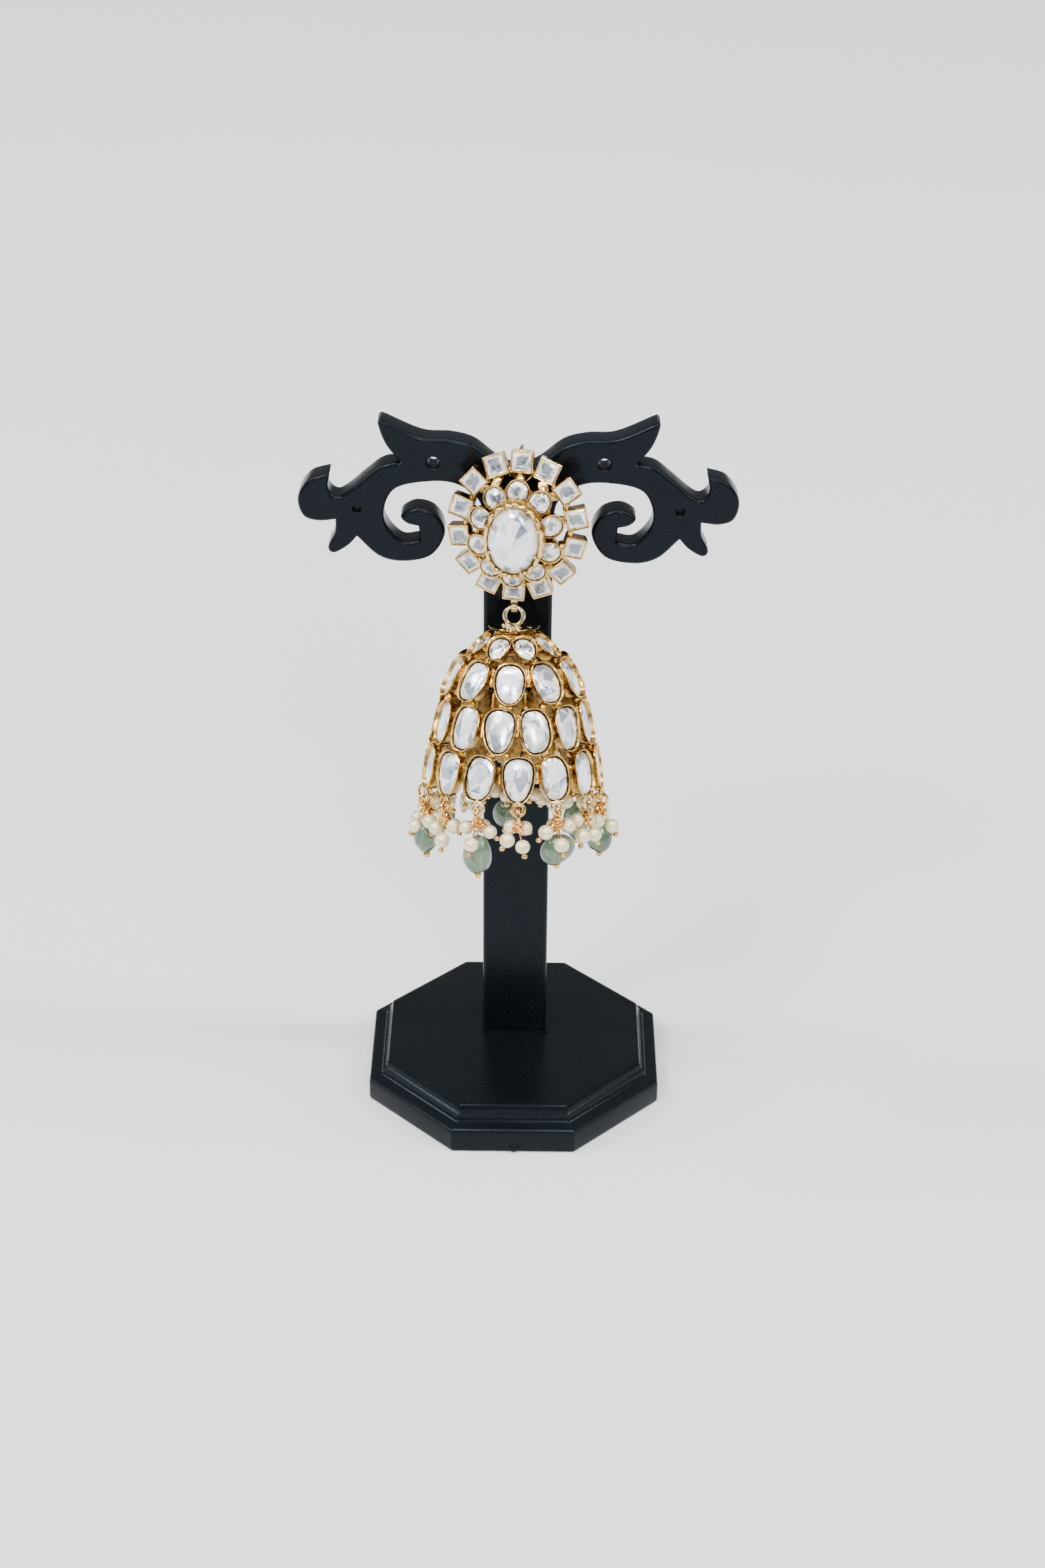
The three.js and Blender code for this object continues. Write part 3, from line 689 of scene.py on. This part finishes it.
# Layers of a square tray: inset from its half side, depth and corner radius.
TRAY = [
    ([(0.2, 2.4, 0.3), (0.05, 2.1, 0.25), (0, 0.2, 0.18), (-0.02, 0.02, 0.18)], WALL_SHADE, OPEN),
    ([(-0.02, 0.02, 0.18), (0.09, -0.1, 0.16), (0.24, -0.04, 0.14), (0.3, 0.25, 0.12)], RIM, OPEN),
    ([(0.3, 0.25, 0.12), (0.34, 1.2, 0.12)], INNER_SHADE, FLOORED),
    ([(0.2, 2.4, 0.3), (0.6, 2.55, 0.3)], WALL_SHADE, FLOORED),
]
CUPS = {"count": 10, "half_width": 6.9, "half_height": 8.6, "face": -3.7, "tilt": 18, "radius": 2.25,
        "depth": 2.4}
# Layers of a round cup: inset and depth.
CUP = [
    ([(0.35, 2.4), (0.1, 2.0), (0, 0.4), (-0.03, 0.1)], WALL_SHADE, OPEN),
    ([(-0.03, 0.1), (0.06, -0.08), (0.17, -0.06), (0.25, 0.15)], RIM, OPEN),
    ([(0.25, 0.15), (0.3, 0.8)], INNER_SHADE, FLOORED),
]
COLLAR = {"half_width": 5.15, "half_height": 7.05, "face": -6.3}
# Layers of the collar: how far out, depth from its face, and depth of the scallops.
COLLAR_WALLS = [
    ([(0.95, 4.7, 0.0), (0.8, 3.2, 0.004), (0.66, 1.5, 0.014), (0.56, 0.7, 0.024), (0.4, 0.25, 0.03)],
     WALL_SHADE, OPEN),
    ([(0.4, 0.25, 0.03), (0.22, 0, 0.03), (-0.1, -0.1, 0.028), (-0.34, 0.06, 0.012)], RIM, OPEN),
    ([(-0.34, 0.06, 0.012), (-0.45, 0.9, 0.0)], WALL_SHADE, OPEN),
]
EAR_PIN = {"x": -1.8, "z": 9.6, "radius": 0.45, "length": 13.5, "pad_z": 10.4,
           "pad": ((1.7, -0.7), (1.9, -0.5), (1.9, 0.5), (1.7, 0.7))}
PIVOT = Vector((-0.63, -9.6, 112.44))


def ring_seat(ring, k, rng=None):
    """Seat of setting k on an oval ring: X across, Y into the stud, Z outward."""
    t = 2 * pi * k / ring["count"]
    spot = Vector((ring["half_width"] * sin(t), ring["face"], ring["half_height"] * cos(t)))
    polar = atan2(spot.x, spot.z)
    s, c = sin(polar), cos(polar)
    st, ct = sin(radians(ring["tilt"])), cos(radians(ring["tilt"]))
    seat = shift(spot) @ with_axes((c, 0, -s), (-s * st, ct, -c * st), (s * ct, st, c * ct))
    if rng:
        seat = seat @ spin(radians(rng.uniform(-4, 4)), "Y")
        seat = seat @ spin(radians(rng.uniform(-3, 3)), "X")
    return STUD_PLACE @ seat


def seat_pairs(ring):
    """Seats of each setting of an oval ring and of the next one."""
    seats = [ring_seat(ring, k) for k in range(ring["count"])]
    return zip(seats, seats[1:] + seats[:1])


def square_ring(half, y, corner):
    """Square outline with small round corners, in the XZ plane."""
    corners = [Vector((half, half)), Vector((-half, half)), Vector((-half, -half)), Vector((half, -half))]
    return [Vector((p.x, y, p.y)) for p in rounded_polygon(corners, corner, 0, 2)]


def solder_lump(shape, start, end, girth, rng, finish=SOLDER):
    """A lump of solder that bridges two walls."""
    along = end - start
    place = shift((start + end) / 2) @ facing(along)
    size = girth * rng.uniform(0.8, 1.2)
    radii = (size, size * rng.uniform(0.75, 1.1), along.length / 2 + 0.55)
    shape.ball(place, radii, finish, 7, 10, 0.07, rng)


def make_squares(metal, stones, rng):
    """Square trays, each with a low stepped stone."""
    half = SQUARES["side"] / 2
    for k in range(SQUARES["count"]):
        seat = ring_seat(SQUARES, k, rng)
        make_walls(metal, TRAY, lambda inset, y, corner: moved(seat, square_ring(half - inset, y, corner)))
        stone_half = half - 0.3
        steps = [(1.0, 0.16), (0.86, -0.04), (0.78, 0.02), (0.52, -0.1), (0.46, 0.0), (0.2, 0.04)]
        points, hearts = [], []
        for share, y in steps:
            skew = rng.uniform(-0.06, 0.06) * stone_half if share < 0.7 else 0
            reach = share * stone_half
            points += [Vector((reach * x + skew, y + rng.uniform(-0.03, 0.03), reach * z - skew))
                       for x, z in ((1, 1), (0, 1), (-1, 1), (-1, 0), (-1, -1), (0, -1), (1, -1), (1, 0))]
            hearts += [min(1.0, 1.12 - share)] * 8
        faces = bands(len(steps) - 1, 8, len(steps))
        faces.append([(len(steps) - 1) * 8 + i for i in range(8)])
        # Each facet's painted reflection tone; the outer bevel stays lighter.
        cuts = [rng.random() * (0.45 if i < 8 else 0.9) for i in range(len(faces))]
        stones.add(moved(seat, points), faces, 0, True, hearts, cuts)


def make_cups(metal, stones, rng):
    radius = CUPS["radius"]
    for k in range(CUPS["count"]):
        seat = ring_seat(CUPS, k, rng)
        squash = rng.uniform(1.02, 1.14)
        make_walls(metal, CUP, lambda inset, y: moved(seat, circle(radius - inset, y, 24, squash)))
        metal.ball(seat @ shift((0, CUPS["depth"], 0)), (radius - 0.36, 0.3, radius - 0.36), WALL_SHADE)
        girdle = circle(radius - 0.36, 0, 16, squash)
        add_facets(stones, seat, girdle, 0.9, rng, 0.24, 0.62, flats=9, inner=5, reach=0.74)


def oval(half_width, half_height, y, sides, scallop=0.0, lobes=0):
    """Upright oval; scallop swells it in and out by lobes."""
    ring = []
    for t in turns(sides):
        swell = 1 + scallop * cos(lobes * t)
        ring.append(Vector((half_width * cos(t) * swell, y, half_height * sin(t) * swell)))
    return ring


def make_collar(metal, rng):
    """Scalloped gallery and prongs round the centre stone."""
    w, h, face = COLLAR["half_width"], COLLAR["half_height"], COLLAR["face"]
    sides, lobes = 120, 20
    make_walls(metal, COLLAR_WALLS, lambda out, y, wave: moved(
        STUD_PLACE, oval(w + out, h + out, face + y, sides, wave, lobes)))
    for t in turns(lobes):
        spot = Vector(((w + 0.3) * cos(t), face + 0.12, (h + 0.3) * sin(t)))
        size = rng.uniform(0.26, 0.36)
        metal.ball(STUD_PLACE @ shift(spot), (size,) * 3, RIM, 6, 8)
    for t in turns(8, 0.5):
        foot = Vector(((w + 0.35) * cos(t), face + 1.2, (h + 0.35) * sin(t)))
        tip = Vector(((w - 0.55) * cos(t), face - 0.3, (h - 0.55) * sin(t)))
        middle = Vector(((w + 0.12) * cos(t), face - 0.15, (h + 0.12) * sin(t)))
        metal.tube(moved(STUD_PLACE, [foot, middle, tip]), 0.22, RIM, 6)
        metal.ball(STUD_PLACE @ shift(tip), (0.26, 0.2, 0.26), RIM, 6, 8)


def make_centre_stone(rng):
    stone = Shape()
    w, h = COLLAR["half_width"] - 0.42, COLLAR["half_height"] - 0.42
    face = COLLAR["face"]
    girdle = oval(w, h, face + 0.45, 28)
    points = [*girdle, *oval(w * 0.97, h * 0.97, face + 0.1, 28)]
    for t in turns(14, 0.5):
        points.append(Vector((w * 0.70 * cos(t), face - 0.92, h * 0.72 * sin(t))))
    points += [Vector((-0.35, face - 1.5, -0.9)), Vector((0, face + 1.4, 0))]
    corners, faces = cut_stone(points)
    # Each facet's painted reflection tone.
    cuts = [rng.random() ** 1.2 for _ in faces]
    hearts = inwardness(corners, girdle, Vector((0, face, 0)))
    stone.add(moved(STUD_PLACE, corners), faces, 0, True, hearts, cuts)
    stone.piece("centre_stone", "root", "foiled_stone", [clear_stone], ["stud_centre_stone"])


def make_stud():
    rng = random.Random(7)
    metal, squares, rounds = Shape(), Shape(), Shape()
    make_squares(metal, squares, rng)
    make_cups(metal, rounds, rng)
    make_collar(metal, rng)
    web = [(6.8, 8.6, -1.6), (6.9, 8.7, -2.0), (6.6, 8.4, -2.6), (4.9, 6.7, -2.75)]
    metal.skin([moved(STUD_PLACE, oval(w, h, y, 48, 0.05, 10)) for w, h, y in web], WALL_SHADE)
    for k, (here, there) in enumerate(seat_pairs(SQUARES)):
        side = SQUARES["side"] / 2
        start, end = here @ Vector((side, 0.7, -side * 0.75)), there @ Vector((-side, 0.7, -side * 0.75))
        solder_lump(metal, start, end, 0.55, rng)
        nearest = round(k * CUPS["count"] / SQUARES["count"]) % CUPS["count"]
        cup = ring_seat(CUPS, nearest) @ Vector((0, CUPS["depth"] - 0.8, 1.6))
        solder_lump(metal, here @ Vector((0, 1.1, -side)), cup, 1.0, rng)
        for _ in range(3):
            spot = start.lerp(end, rng.uniform(0.1, 0.9)) + Vector([rng.uniform(-0.3, 0.3) for _ in range(3)])
            metal.ball(shift(spot), (rng.uniform(0.3, 0.55),) * 3, SOLDER, 6, 8, 0.18, rng)
        if k % 2 == 0:
            metal.ball(shift(start), (0.45,) * 3, SOLDER, 6, 8, 0.15, rng)
    for here, there in seat_pairs(CUPS):
        side = Vector((CUPS["radius"] * 0.8, 0, 0))
        low = Vector((0, 1.2, 0))
        solder_lump(metal, here @ (low + side), there @ (low - side), 0.5, rng, WALL_SHADE)
    pad_back = SQUARES["depth"] + 0.5
    pad = STUD_PLACE @ shift((0, pad_back - 0.7, EAR_PIN["pad_z"]))
    metal.skin([moved(pad, circle(r, y, 28)) for r, y in EAR_PIN["pad"]], RIM)
    foot = Vector((EAR_PIN["x"], pad_back - 1, EAR_PIN["z"]))
    tip = foot + Vector((0, EAR_PIN["length"], 0))
    neck, end = tip - Vector((0, 1.2, 0)), tip - Vector((0, 0.25, 0))
    metal.tube(moved(STUD_PLACE, [foot, neck]), EAR_PIN["radius"], PALE, 12)
    metal.tube(moved(STUD_PLACE, [neck, end]), EAR_PIN["radius"] * 0.8, PALE, 12)
    metal.ball(STUD_PLACE @ shift(foot + Vector((0, 0.9, 0))), (0.85, 0.5, 0.85), SOLDER, 6, 10, 0.1, rng)
    make_strap(metal)
    metal.piece("stud_frame_metal", "root", "gold_metal", METALS, ["stud_frame"])
    squares.piece("square_stones", "root", "foiled_stone", [stud_stone])
    rounds.piece("round_stones", "root", "foiled_stone", [stud_stone])
    make_centre_stone(rng)


def make_strap(metal):
    """Flat strap from the lowest square, looped through the bell's ring."""
    half_width, thickness, mean = 0.55, 0.17, 0.91
    rings = []
    for t in (radians(-90 + 360 * i / 24) for i in range(24)):
        out = Vector((0, cos(t), sin(t)))
        rings.append([PIVOT + Vector((side * half_width, 0, 0)) + out * (mean + lift)
                      for side, lift in ((-1, -thickness), (1, -thickness), (1, thickness), (-1, thickness))])
    metal.skin(rings, PALE, closed=True)
    section = ((-0.6, -0.28), (0.6, -0.28), (0.6, 0.28), (-0.6, 0.28))
    metal.skin([[PIVOT + Vector((x, y, z)) for x, y in section] for z in (0.85, 1.5, 2.2, 2.9)], PALE)


# ---------- bell ----------
BELL_LEAN = radians(17)
BELL_PLACE = shift(PIVOT) @ spin(-BELL_LEAN, "X")
RING = {"mean_radius": 1.73, "wire": 0.42}
# Sections of the cap disc and of the neck under it: radius, and height above the cap's top.
CAP = {
    "top": -4.0,
    "disc": [(0.2, -0.1), (1.6, -0.2), (2.8, -0.25), (3.7, -0.15), (4.3, 0.05), (4.68, 0.28), (4.75, 0.2),
             (4.45, -0.15), (3.8, -0.42), (2.6, -0.55), (0.2, -0.55)],
    "neck": [(3.4, -0.5), (3.9, -1.2), (4.5, -2.0), (4.7, -2.3)],
    "even": 3.5,
}
ROWS = [
    {"name": "crown", "count": 8, "radius": 6.9, "z": -6.7, "slope": 47, "first": 19.7,
     "half_width": 2.35, "half_height": 2.95, "shapes": ["pear"]},
    {"name": "shoulder", "count": 10, "radius": 11.9, "z": -12.4, "slope": 29, "first": -3,
     "half_width": 3.05, "half_height": 4.2,
     "shapes": "egg slab drum shield slab egg slant shield drum slant".split()},
    {"name": "waist", "count": 13, "radius": 14.6, "z": -20.9, "slope": 14.4, "first": -10,
     "half_width": 3.1, "half_height": 4.4,
     "shapes": "shield slab shield drum egg slab slant egg drum shield slab egg slant".split()},
    {"name": "hem", "count": 14, "radius": 16.5, "z": -29.6, "slope": 9.9, "first": 4,
     "half_width": 3.1, "half_height": 4.45,
     "shapes": "shield slab drum egg slant shield drum slab egg shield drum egg shield slant".split()},
]
SETTING_DEPTH = 2.2
SETTING_TAPER = 0.4
SETTING_WALL = 0.52
# Layers of a bell setting: inset and depth.
SETTING = [
    ([(SETTING_TAPER + 0.15, SETTING_DEPTH), (SETTING_TAPER * 0.8, SETTING_DEPTH - 0.35), (0.14, 1.0),
      (0.02, 0.35), (0.0, 0.12)], WALL_SHADE, OPEN),
    ([(0.0, 0.12), (0.02, -0.03), (0.1, -0.1), (0.2, -0.07), (0.26, 0.06)], RIM, OPEN),
    ([(0.26, 0.06), (0.32, 0.5), (SETTING_WALL + 0.06, 0.95)], INNER_SHADE, OPEN),
]
SETTING_BACK = ((0.15, SETTING_DEPTH), (1.0, SETTING_DEPTH + 0.22))
EYELET = {"mean_radius": 1.07, "wire": 0.40, "below": 5.4}


def row_seat(row, k):
    """Seat of stone k of a row: X across, Y into the bell, Z up the stone."""
    a = radians(row["first"] + 360 / row["count"] * k)
    s, c = sin(a), cos(a)
    ss, cs = sin(radians(row["slope"])), cos(radians(row["slope"]))
    axes = with_axes((c, s, 0), (-s * cs, c * cs, -ss), (-s * ss, c * ss, cs))
    return BELL_PLACE @ shift((row["radius"] * s, -row["radius"] * c, row["z"])) @ axes


def settings():
    for row in ROWS:
        for k in range(row["count"]):
            yield row, k, row["shapes"][k % len(row["shapes"])], row_seat(row, k)


def setting_ring(row, shape, inset, y, count=OUTLINE_POINTS):
    return stone_outline(shape, row["half_width"] - inset, row["half_height"] - inset, y, count)


def make_setting(metal, row, shape, seat):
    """Tapered cup with a thin rolled rim."""
    def ring(inset, y):
        return [seat @ (p + Vector((0, 0.03 * sin(5 * i + row["z"]), 0)))
                for i, p in enumerate(setting_ring(row, shape, inset, y))]

    make_walls(metal, SETTING, ring)
    # The setting's back in the very dark gilt: painted shade.
    metal.skin([moved(seat, setting_ring(row, shape, SETTING_TAPER + inset, y)) for inset, y in SETTING_BACK],
               BACK_SHADE, caps=FLOORED)


def make_seams(metal, all_settings, reach, rng):
    """Beads of solder along the walls of settings that nearly touch."""
    walls = [moved(seat, setting_ring(row, shape, 0.18, 1.2, 48)) for row, _, shape, seat in all_settings]
    centres = [sum(wall, Vector()) / len(wall) for wall in walls]
    for i, wall in enumerate(walls):
        for j in range(i + 1, len(walls)):
            if (centres[i] - centres[j]).length > 11:
                continue
            nearest = [min(walls[j], key=lambda q: (q - p).length) for p in wall]
            gaps = [(q - p).length for p, q in zip(wall, nearest)]
            count = len(wall)
            starts = [n for n in range(count) if gaps[n] < reach <= gaps[n - 1]]
            for start in starts:
                run = []
                while gaps[(start + len(run)) % count] < reach:
                    run.append((start + len(run)) % count)
                if len(run) < 3:
                    continue
                middles = [(wall[n] + nearest[n]) / 2 for n in run]
                path = [(middles[max(m - 1, 0)] + middles[m] + middles[min(m + 1, len(run) - 1)]) / 3
                        for m in range(len(run))]
                ends = [sqrt(min(1.0, (min(m, len(run) - 1 - m) + 0.35) / 1.6)) for m in range(len(run))]
                girths = [(gaps[n] / 2 + 0.3) * end * rng.uniform(0.93, 1.07) for n, end in zip(run, ends)]
                metal.tube(path, girths, SOLDER if rng.random() < 0.7 else WALL_SHADE, 10)


def make_cap(metal, rng):
    """Hanging ring, solder, thin cap disc with an upturned edge, and the neck under it."""
    hang = BELL_PLACE @ shift((0, 0, -RING["mean_radius"]))
    metal.hoop(hang, RING["mean_radius"], RING["wire"], PALE, 36, 10)
    top = CAP["top"]
    rings = []
    for r, above in CAP["disc"]:
        ring = []
        for t in turns(60):
            ripple = 0.09 * sin(5 * t + 0.6) + 0.06 * sin(11 * t) if r > CAP["even"] else 0
            reach = r + ripple
            ring.append(BELL_PLACE @ Vector((reach * cos(t), reach * sin(t), top + above + ripple)))
        rings.append(ring)
    metal.skin(rings, PALE)
    metal.skin([[BELL_PLACE @ Vector((r * cos(t), r * sin(t), top + above)) for t in turns(40)]
                for r, above in CAP["neck"]], WALL_SHADE)
    for _ in range(16):
        t, away = rng.uniform(0, 2 * pi), rng.uniform(0, 1.9)
        spot = BELL_PLACE @ Vector((away * cos(t), away * sin(t), top + rng.uniform(-0.1, 0.45)))
        metal.ball(shift(spot), (rng.uniform(0.45, 0.8),) * 3, PALE, 7, 10, 0.1, rng)
    for _ in range(12):
        t = rng.uniform(0, 2 * pi)
        spot = BELL_PLACE @ Vector((3.6 * cos(t), 3.6 * sin(t), top - 0.55))
        metal.ball(shift(spot), (rng.uniform(0.3, 0.6),) * 3, SOLDER, 6, 8, 0.15, rng)


def eyelet_place(k):
    hem = ROWS[-1]
    a = radians(hem["first"] + 360 / hem["count"] * k)
    radius = hem["radius"] + (EYELET["below"] - 1) * sin(radians(hem["slope"])) - 0.3
    return a, Vector((radius * sin(a), -radius * cos(a), hem["z"] - EYELET["below"]))


def make_bell():
    rng = random.Random(21)
    metal, crown = Shape(), Shape()
    placed = list(settings())
    for row, k, shape, seat in placed:
        make_setting(metal, row, shape, seat)
        stone = crown if row["name"] == "crown" else Shape()
        girdle = setting_ring(row, shape, SETTING_WALL + 0.02, 0, 18)
        small = row["name"] == "crown"
        dome, flats = (0.58, 6) if small else (0.74, 8)
        add_facets(stone, seat, girdle, 1.1, rng, 0.5, dome, flats, inner=3, reach=0.72)
        if not small:
            name = f"{row['name']}_stone_{k + 1:02d}"
            stone.piece("cut_" + name, "bell", "foiled_stone", [bell_stone], [name])
    crown.piece("crown_stones", "bell", "foiled_stone", [stud_stone])
    make_seams(metal, placed, 1.7, rng)
    make_cap(metal, rng)
    for k in range(ROWS[-1]["count"]):
        a, spot = eyelet_place(k)
        place = BELL_PLACE @ shift(spot) @ spin(a, "Z")
        metal.hoop(place, EYELET["mean_radius"], EYELET["wire"], PALE if k % 3 else RIM, 28, 10)
        metal.ball(place @ shift((0, 0, 1.1)), (0.6, 0.4, 0.45), SOLDER, 6, 8, 0.12, rng)
    metal.piece("bell_frame_metal", "bell", "gold_metal", METALS, ["bell_frame"])


# ---------- fringe ----------
LINK = {"top": -0.2, "mean_radius": 1.2, "wire": 0.34}
PIN = {"wire": 0.18, "loop": 0.6, "loop_wire": 0.27, "wraps": 2.5, "wrap_steps": 14, "pitch": 0.38,
       "coil": 0.4, "coil_wire": 0.22}
PEARL_RADIUS = 1.45
PEARLS_WITH_BEAD = [(-2.3, 0.3, -5.0), (2.2, 0.2, -4.6), (-0.2, -2.2, -6.9), (0.3, 2.1, -4.9)]
PEARLS_ALONE = [(-1.9, -0.6, -6.2), (0.8, -1.5, -7.0), (-1.3, 1.1, -3.9), (1.5, 1.0, -4.8)]
# Tumbled beads: half sizes across, in depth and in height, and how far they lean, in degrees.
BEADS = {
    "tall": {"size": (2.7, 2.3, 3.9), "lean": 4},
    "wide": {"size": (3.3, 2.4, 2.9), "lean": -28},
    "short": {"size": (2.6, 2.4, 3.3), "lean": 10},
}
BEAD_ORDER = ["wide", "short", "tall", "short", "wide", "short", "tall"]
BEAD_TOP = -6.0
BACK_LEAN = radians(8)


def drop_place(k):
    a, spot = eyelet_place(k)
    behind = BACK_LEAN if cos(a) < -0.7 else 0
    return BELL_PLACE @ shift(spot) @ spin(BELL_LEAN, "X") @ spin(a, "Z") @ spin(behind, "X")


def wrapped_pin(wire, place, top, end, ball_radius, rng):
    """Head pin from its loop at top, with wraps, down to a ball at end."""
    start, finish = Vector(top), Vector(end)
    ahead = (finish - start).normalized()
    loop = place @ shift(start) @ facing(ahead, "-Z") @ spin(rng.uniform(0, 3), "Z")
    wire.hoop(loop, PIN["loop"], PIN["loop_wire"], ROSE, 24, 8)
    across = ahead.orthogonal().normalized()
    side = ahead.cross(across)
    steps = PIN["wrap_steps"]
    path = []
    for i in range(int(PIN["wraps"] * steps) + 1):
        t = 2 * pi * i / steps
        path.append(start + ahead * (PIN["loop"] + PIN["pitch"] * i / steps)
                    + PIN["coil"] * (cos(t) * across + sin(t) * side))
    wire.tube(moved(place, path), PIN["coil_wire"], ROSE, 8)
    wire.tube([place @ (start + ahead * PIN["loop"]), place @ finish], PIN["wire"], ROSE, 8)
    wire.ball(place @ shift(finish), (ball_radius,) * 3, ROSE, 8, 12)


def make_bead(name, place, size, lean, rng):
    """Tumbled bead: an egg with a few soft flats and hollows."""
    stone = Shape()
    middle = Vector((0, 0, BEAD_TOP - size[2]))
    turn = place @ shift(middle) @ spin(radians(lean), "Y")
    phases = [rng.uniform(0, 2 * pi) for _ in range(4)]
    rings = []
    rows, around = 22, 30
    for row in range(rows + 1):
        polar = pi * min(max(row / rows, 0.03), 0.97)
        ring = []
        for t in turns(around):
            swell = (1 + 0.05 * sin(2 * t + phases[0]) * sin(polar)
                     + 0.035 * sin(3 * t + phases[1] + 2 * polar) + 0.03 * sin(3 * polar + phases[2]))
            egg = 1 - 0.1 * cos(polar)
            ring.append(turn @ Vector((
                size[0] * sin(polar) * cos(t) * swell * egg,
                size[1] * sin(polar) * sin(t) * swell * egg,
                size[2] * cos(polar) * swell,
            )))
        rings.append(ring)
    stone.skin(rings)
    stone.piece(name, "bell", "green_bead", [bead])


def make_drop(k, rng):
    place = drop_place(k)
    with_bead = k % 2 == 1
    wire, pearls = Shape(), Shape()
    link_place = place @ shift((0, 0, LINK["top"] - LINK["mean_radius"])) @ spin(pi / 2, "Z")
    wire.hoop(link_place, LINK["mean_radius"], LINK["wire"], ROSE, 28, 8, 1.12)
    knot = Vector((0, 0, LINK["top"] - 2 * LINK["mean_radius"] - 0.15))
    for spot in PEARLS_WITH_BEAD if with_bead else PEARLS_ALONE:
        centre = Vector(spot) + Vector([rng.uniform(-0.2, 0.2) for _ in range(3)])
        ahead = (centre - knot).normalized()
        size = PEARL_RADIUS * rng.uniform(0.95, 1.03)
        wrapped_pin(wire, place, knot + ahead * 0.3, centre + ahead * (size + 0.42), 0.55, rng)
        turned = place @ shift(centre) @ facing(ahead)
        radii = (size, size * rng.uniform(0.96, 1.0), size * rng.uniform(0.94, 1.0))
        pearls.ball(turned, radii, 0, 14, 20, 0.006, rng)
    if with_bead:
        bead_kind = BEADS[BEAD_ORDER[(k - 1) // 2]]
        bottom = BEAD_TOP - 2 * bead_kind["size"][2]
        wrapped_pin(wire, place, knot, Vector((0, 0, bottom - 0.55)), 0.72, rng)
        make_bead(f"bead_{k + 1:02d}", place, bead_kind["size"], bead_kind["lean"], rng)
    node = f"{'bead' if with_bead else 'pearl'}_drop_{k + 1:02d}"
    wire.piece(f"drop_wire_{k + 1:02d}", "bell", "gold_metal", METALS, [node])
    pearls.piece(f"drop_pearls_{k + 1:02d}", "bell", "pearl", [pearl])


def make_fringe():
    for k in range(ROWS[-1]["count"]):
        make_drop(k, random.Random(100 + k))


# ---------- studio ----------
FLOOR = {"reach": 15000, "z": -0.02}
# Place in millimetres, watts, width and height in metres, and tint; all lights aim at LIT_POINT.
LIGHTS = {
    "key_light": ((-1200, -1680, 2240), 64.0, (0.8, 0.56), (1, 1, 1)),
    "front_light": ((660, -2700, 2000), 50.0, (0.6, 1.0), (1, 1, 1)),
    "right_light": ((2500, -480, 2300), 56.0, (0.4, 1.6), (1, 0.97, 0.93)),
    "left_light": ((-2500, 0, 2200), 56.0, (0.4, 1.6), (0.93, 0.96, 1)),
    "top_light": ((0, -320, 3000), 104.0, (3.0, 0.2), (1, 1, 1)),
}
LIT_POINT = Vector((0, -5, 100))
SKY = {"low": 0.1, "high": 0.95, "horizon": (0.42, 0.43, 0.45, 1), "overhead": (0.93, 0.95, 1.0, 1),
       "strength": 0.75}


def make_floor():
    finish = Finish("pale_floor", Roughness=0.85)
    tone = finish.blend(finish.noise(3, detail=2), (0.70, 0.70, 0.71, 1), (0.74, 0.74, 0.745, 1))
    mesh = bpy.data.meshes.new("floor")
    corners = [Vector((x * FLOOR["reach"], y * FLOOR["reach"], FLOOR["z"])) * MM
               for x, y in ((-1, -1), (1, -1), (1, 1), (-1, 1))]
    mesh.from_pydata(corners, [], [(0, 1, 2, 3)])
    mesh.materials.append(finish.made(Base_Color=tone))
    made = put("floor", mesh)


def soft_box(name, place, watts, size, tint):
    light = bpy.data.lights.new(name, "AREA")
    light.shape = "RECTANGLE"
    light.size, light.size_y = size
    light.energy = watts
    light.color = tint
    lamp = put(name, light)
    lamp.location = Vector(place) * MM
    aim = LIT_POINT * MM - lamp.location
    lamp.rotation_euler = aim.to_track_quat("-Z", "Y").to_euler()


def make_sky():
    """Soft light, brightest overhead and dim near the horizon."""
    world = bpy.data.worlds.new("soft_sky")
    sky = Nodes(world, "Background")
    up = sky.node("SeparateXYZ", {}, {0: sky.node("TexCoord", output="Generated")}, 2)
    height = sky.between(up, SKY["low"], SKY["high"])
    sky.vary(Color=sky.blend(height, SKY["horizon"], SKY["overhead"]))
    sky.shader.inputs["Strength"].default_value = SKY["strength"]
    bpy.context.scene.world = world


make_base()
make_post()
make_arms()
make_stud()
make_bell()
make_fringe()
make_floor()
for name, look in LIGHTS.items():
    soft_box(name, *look)
make_sky()
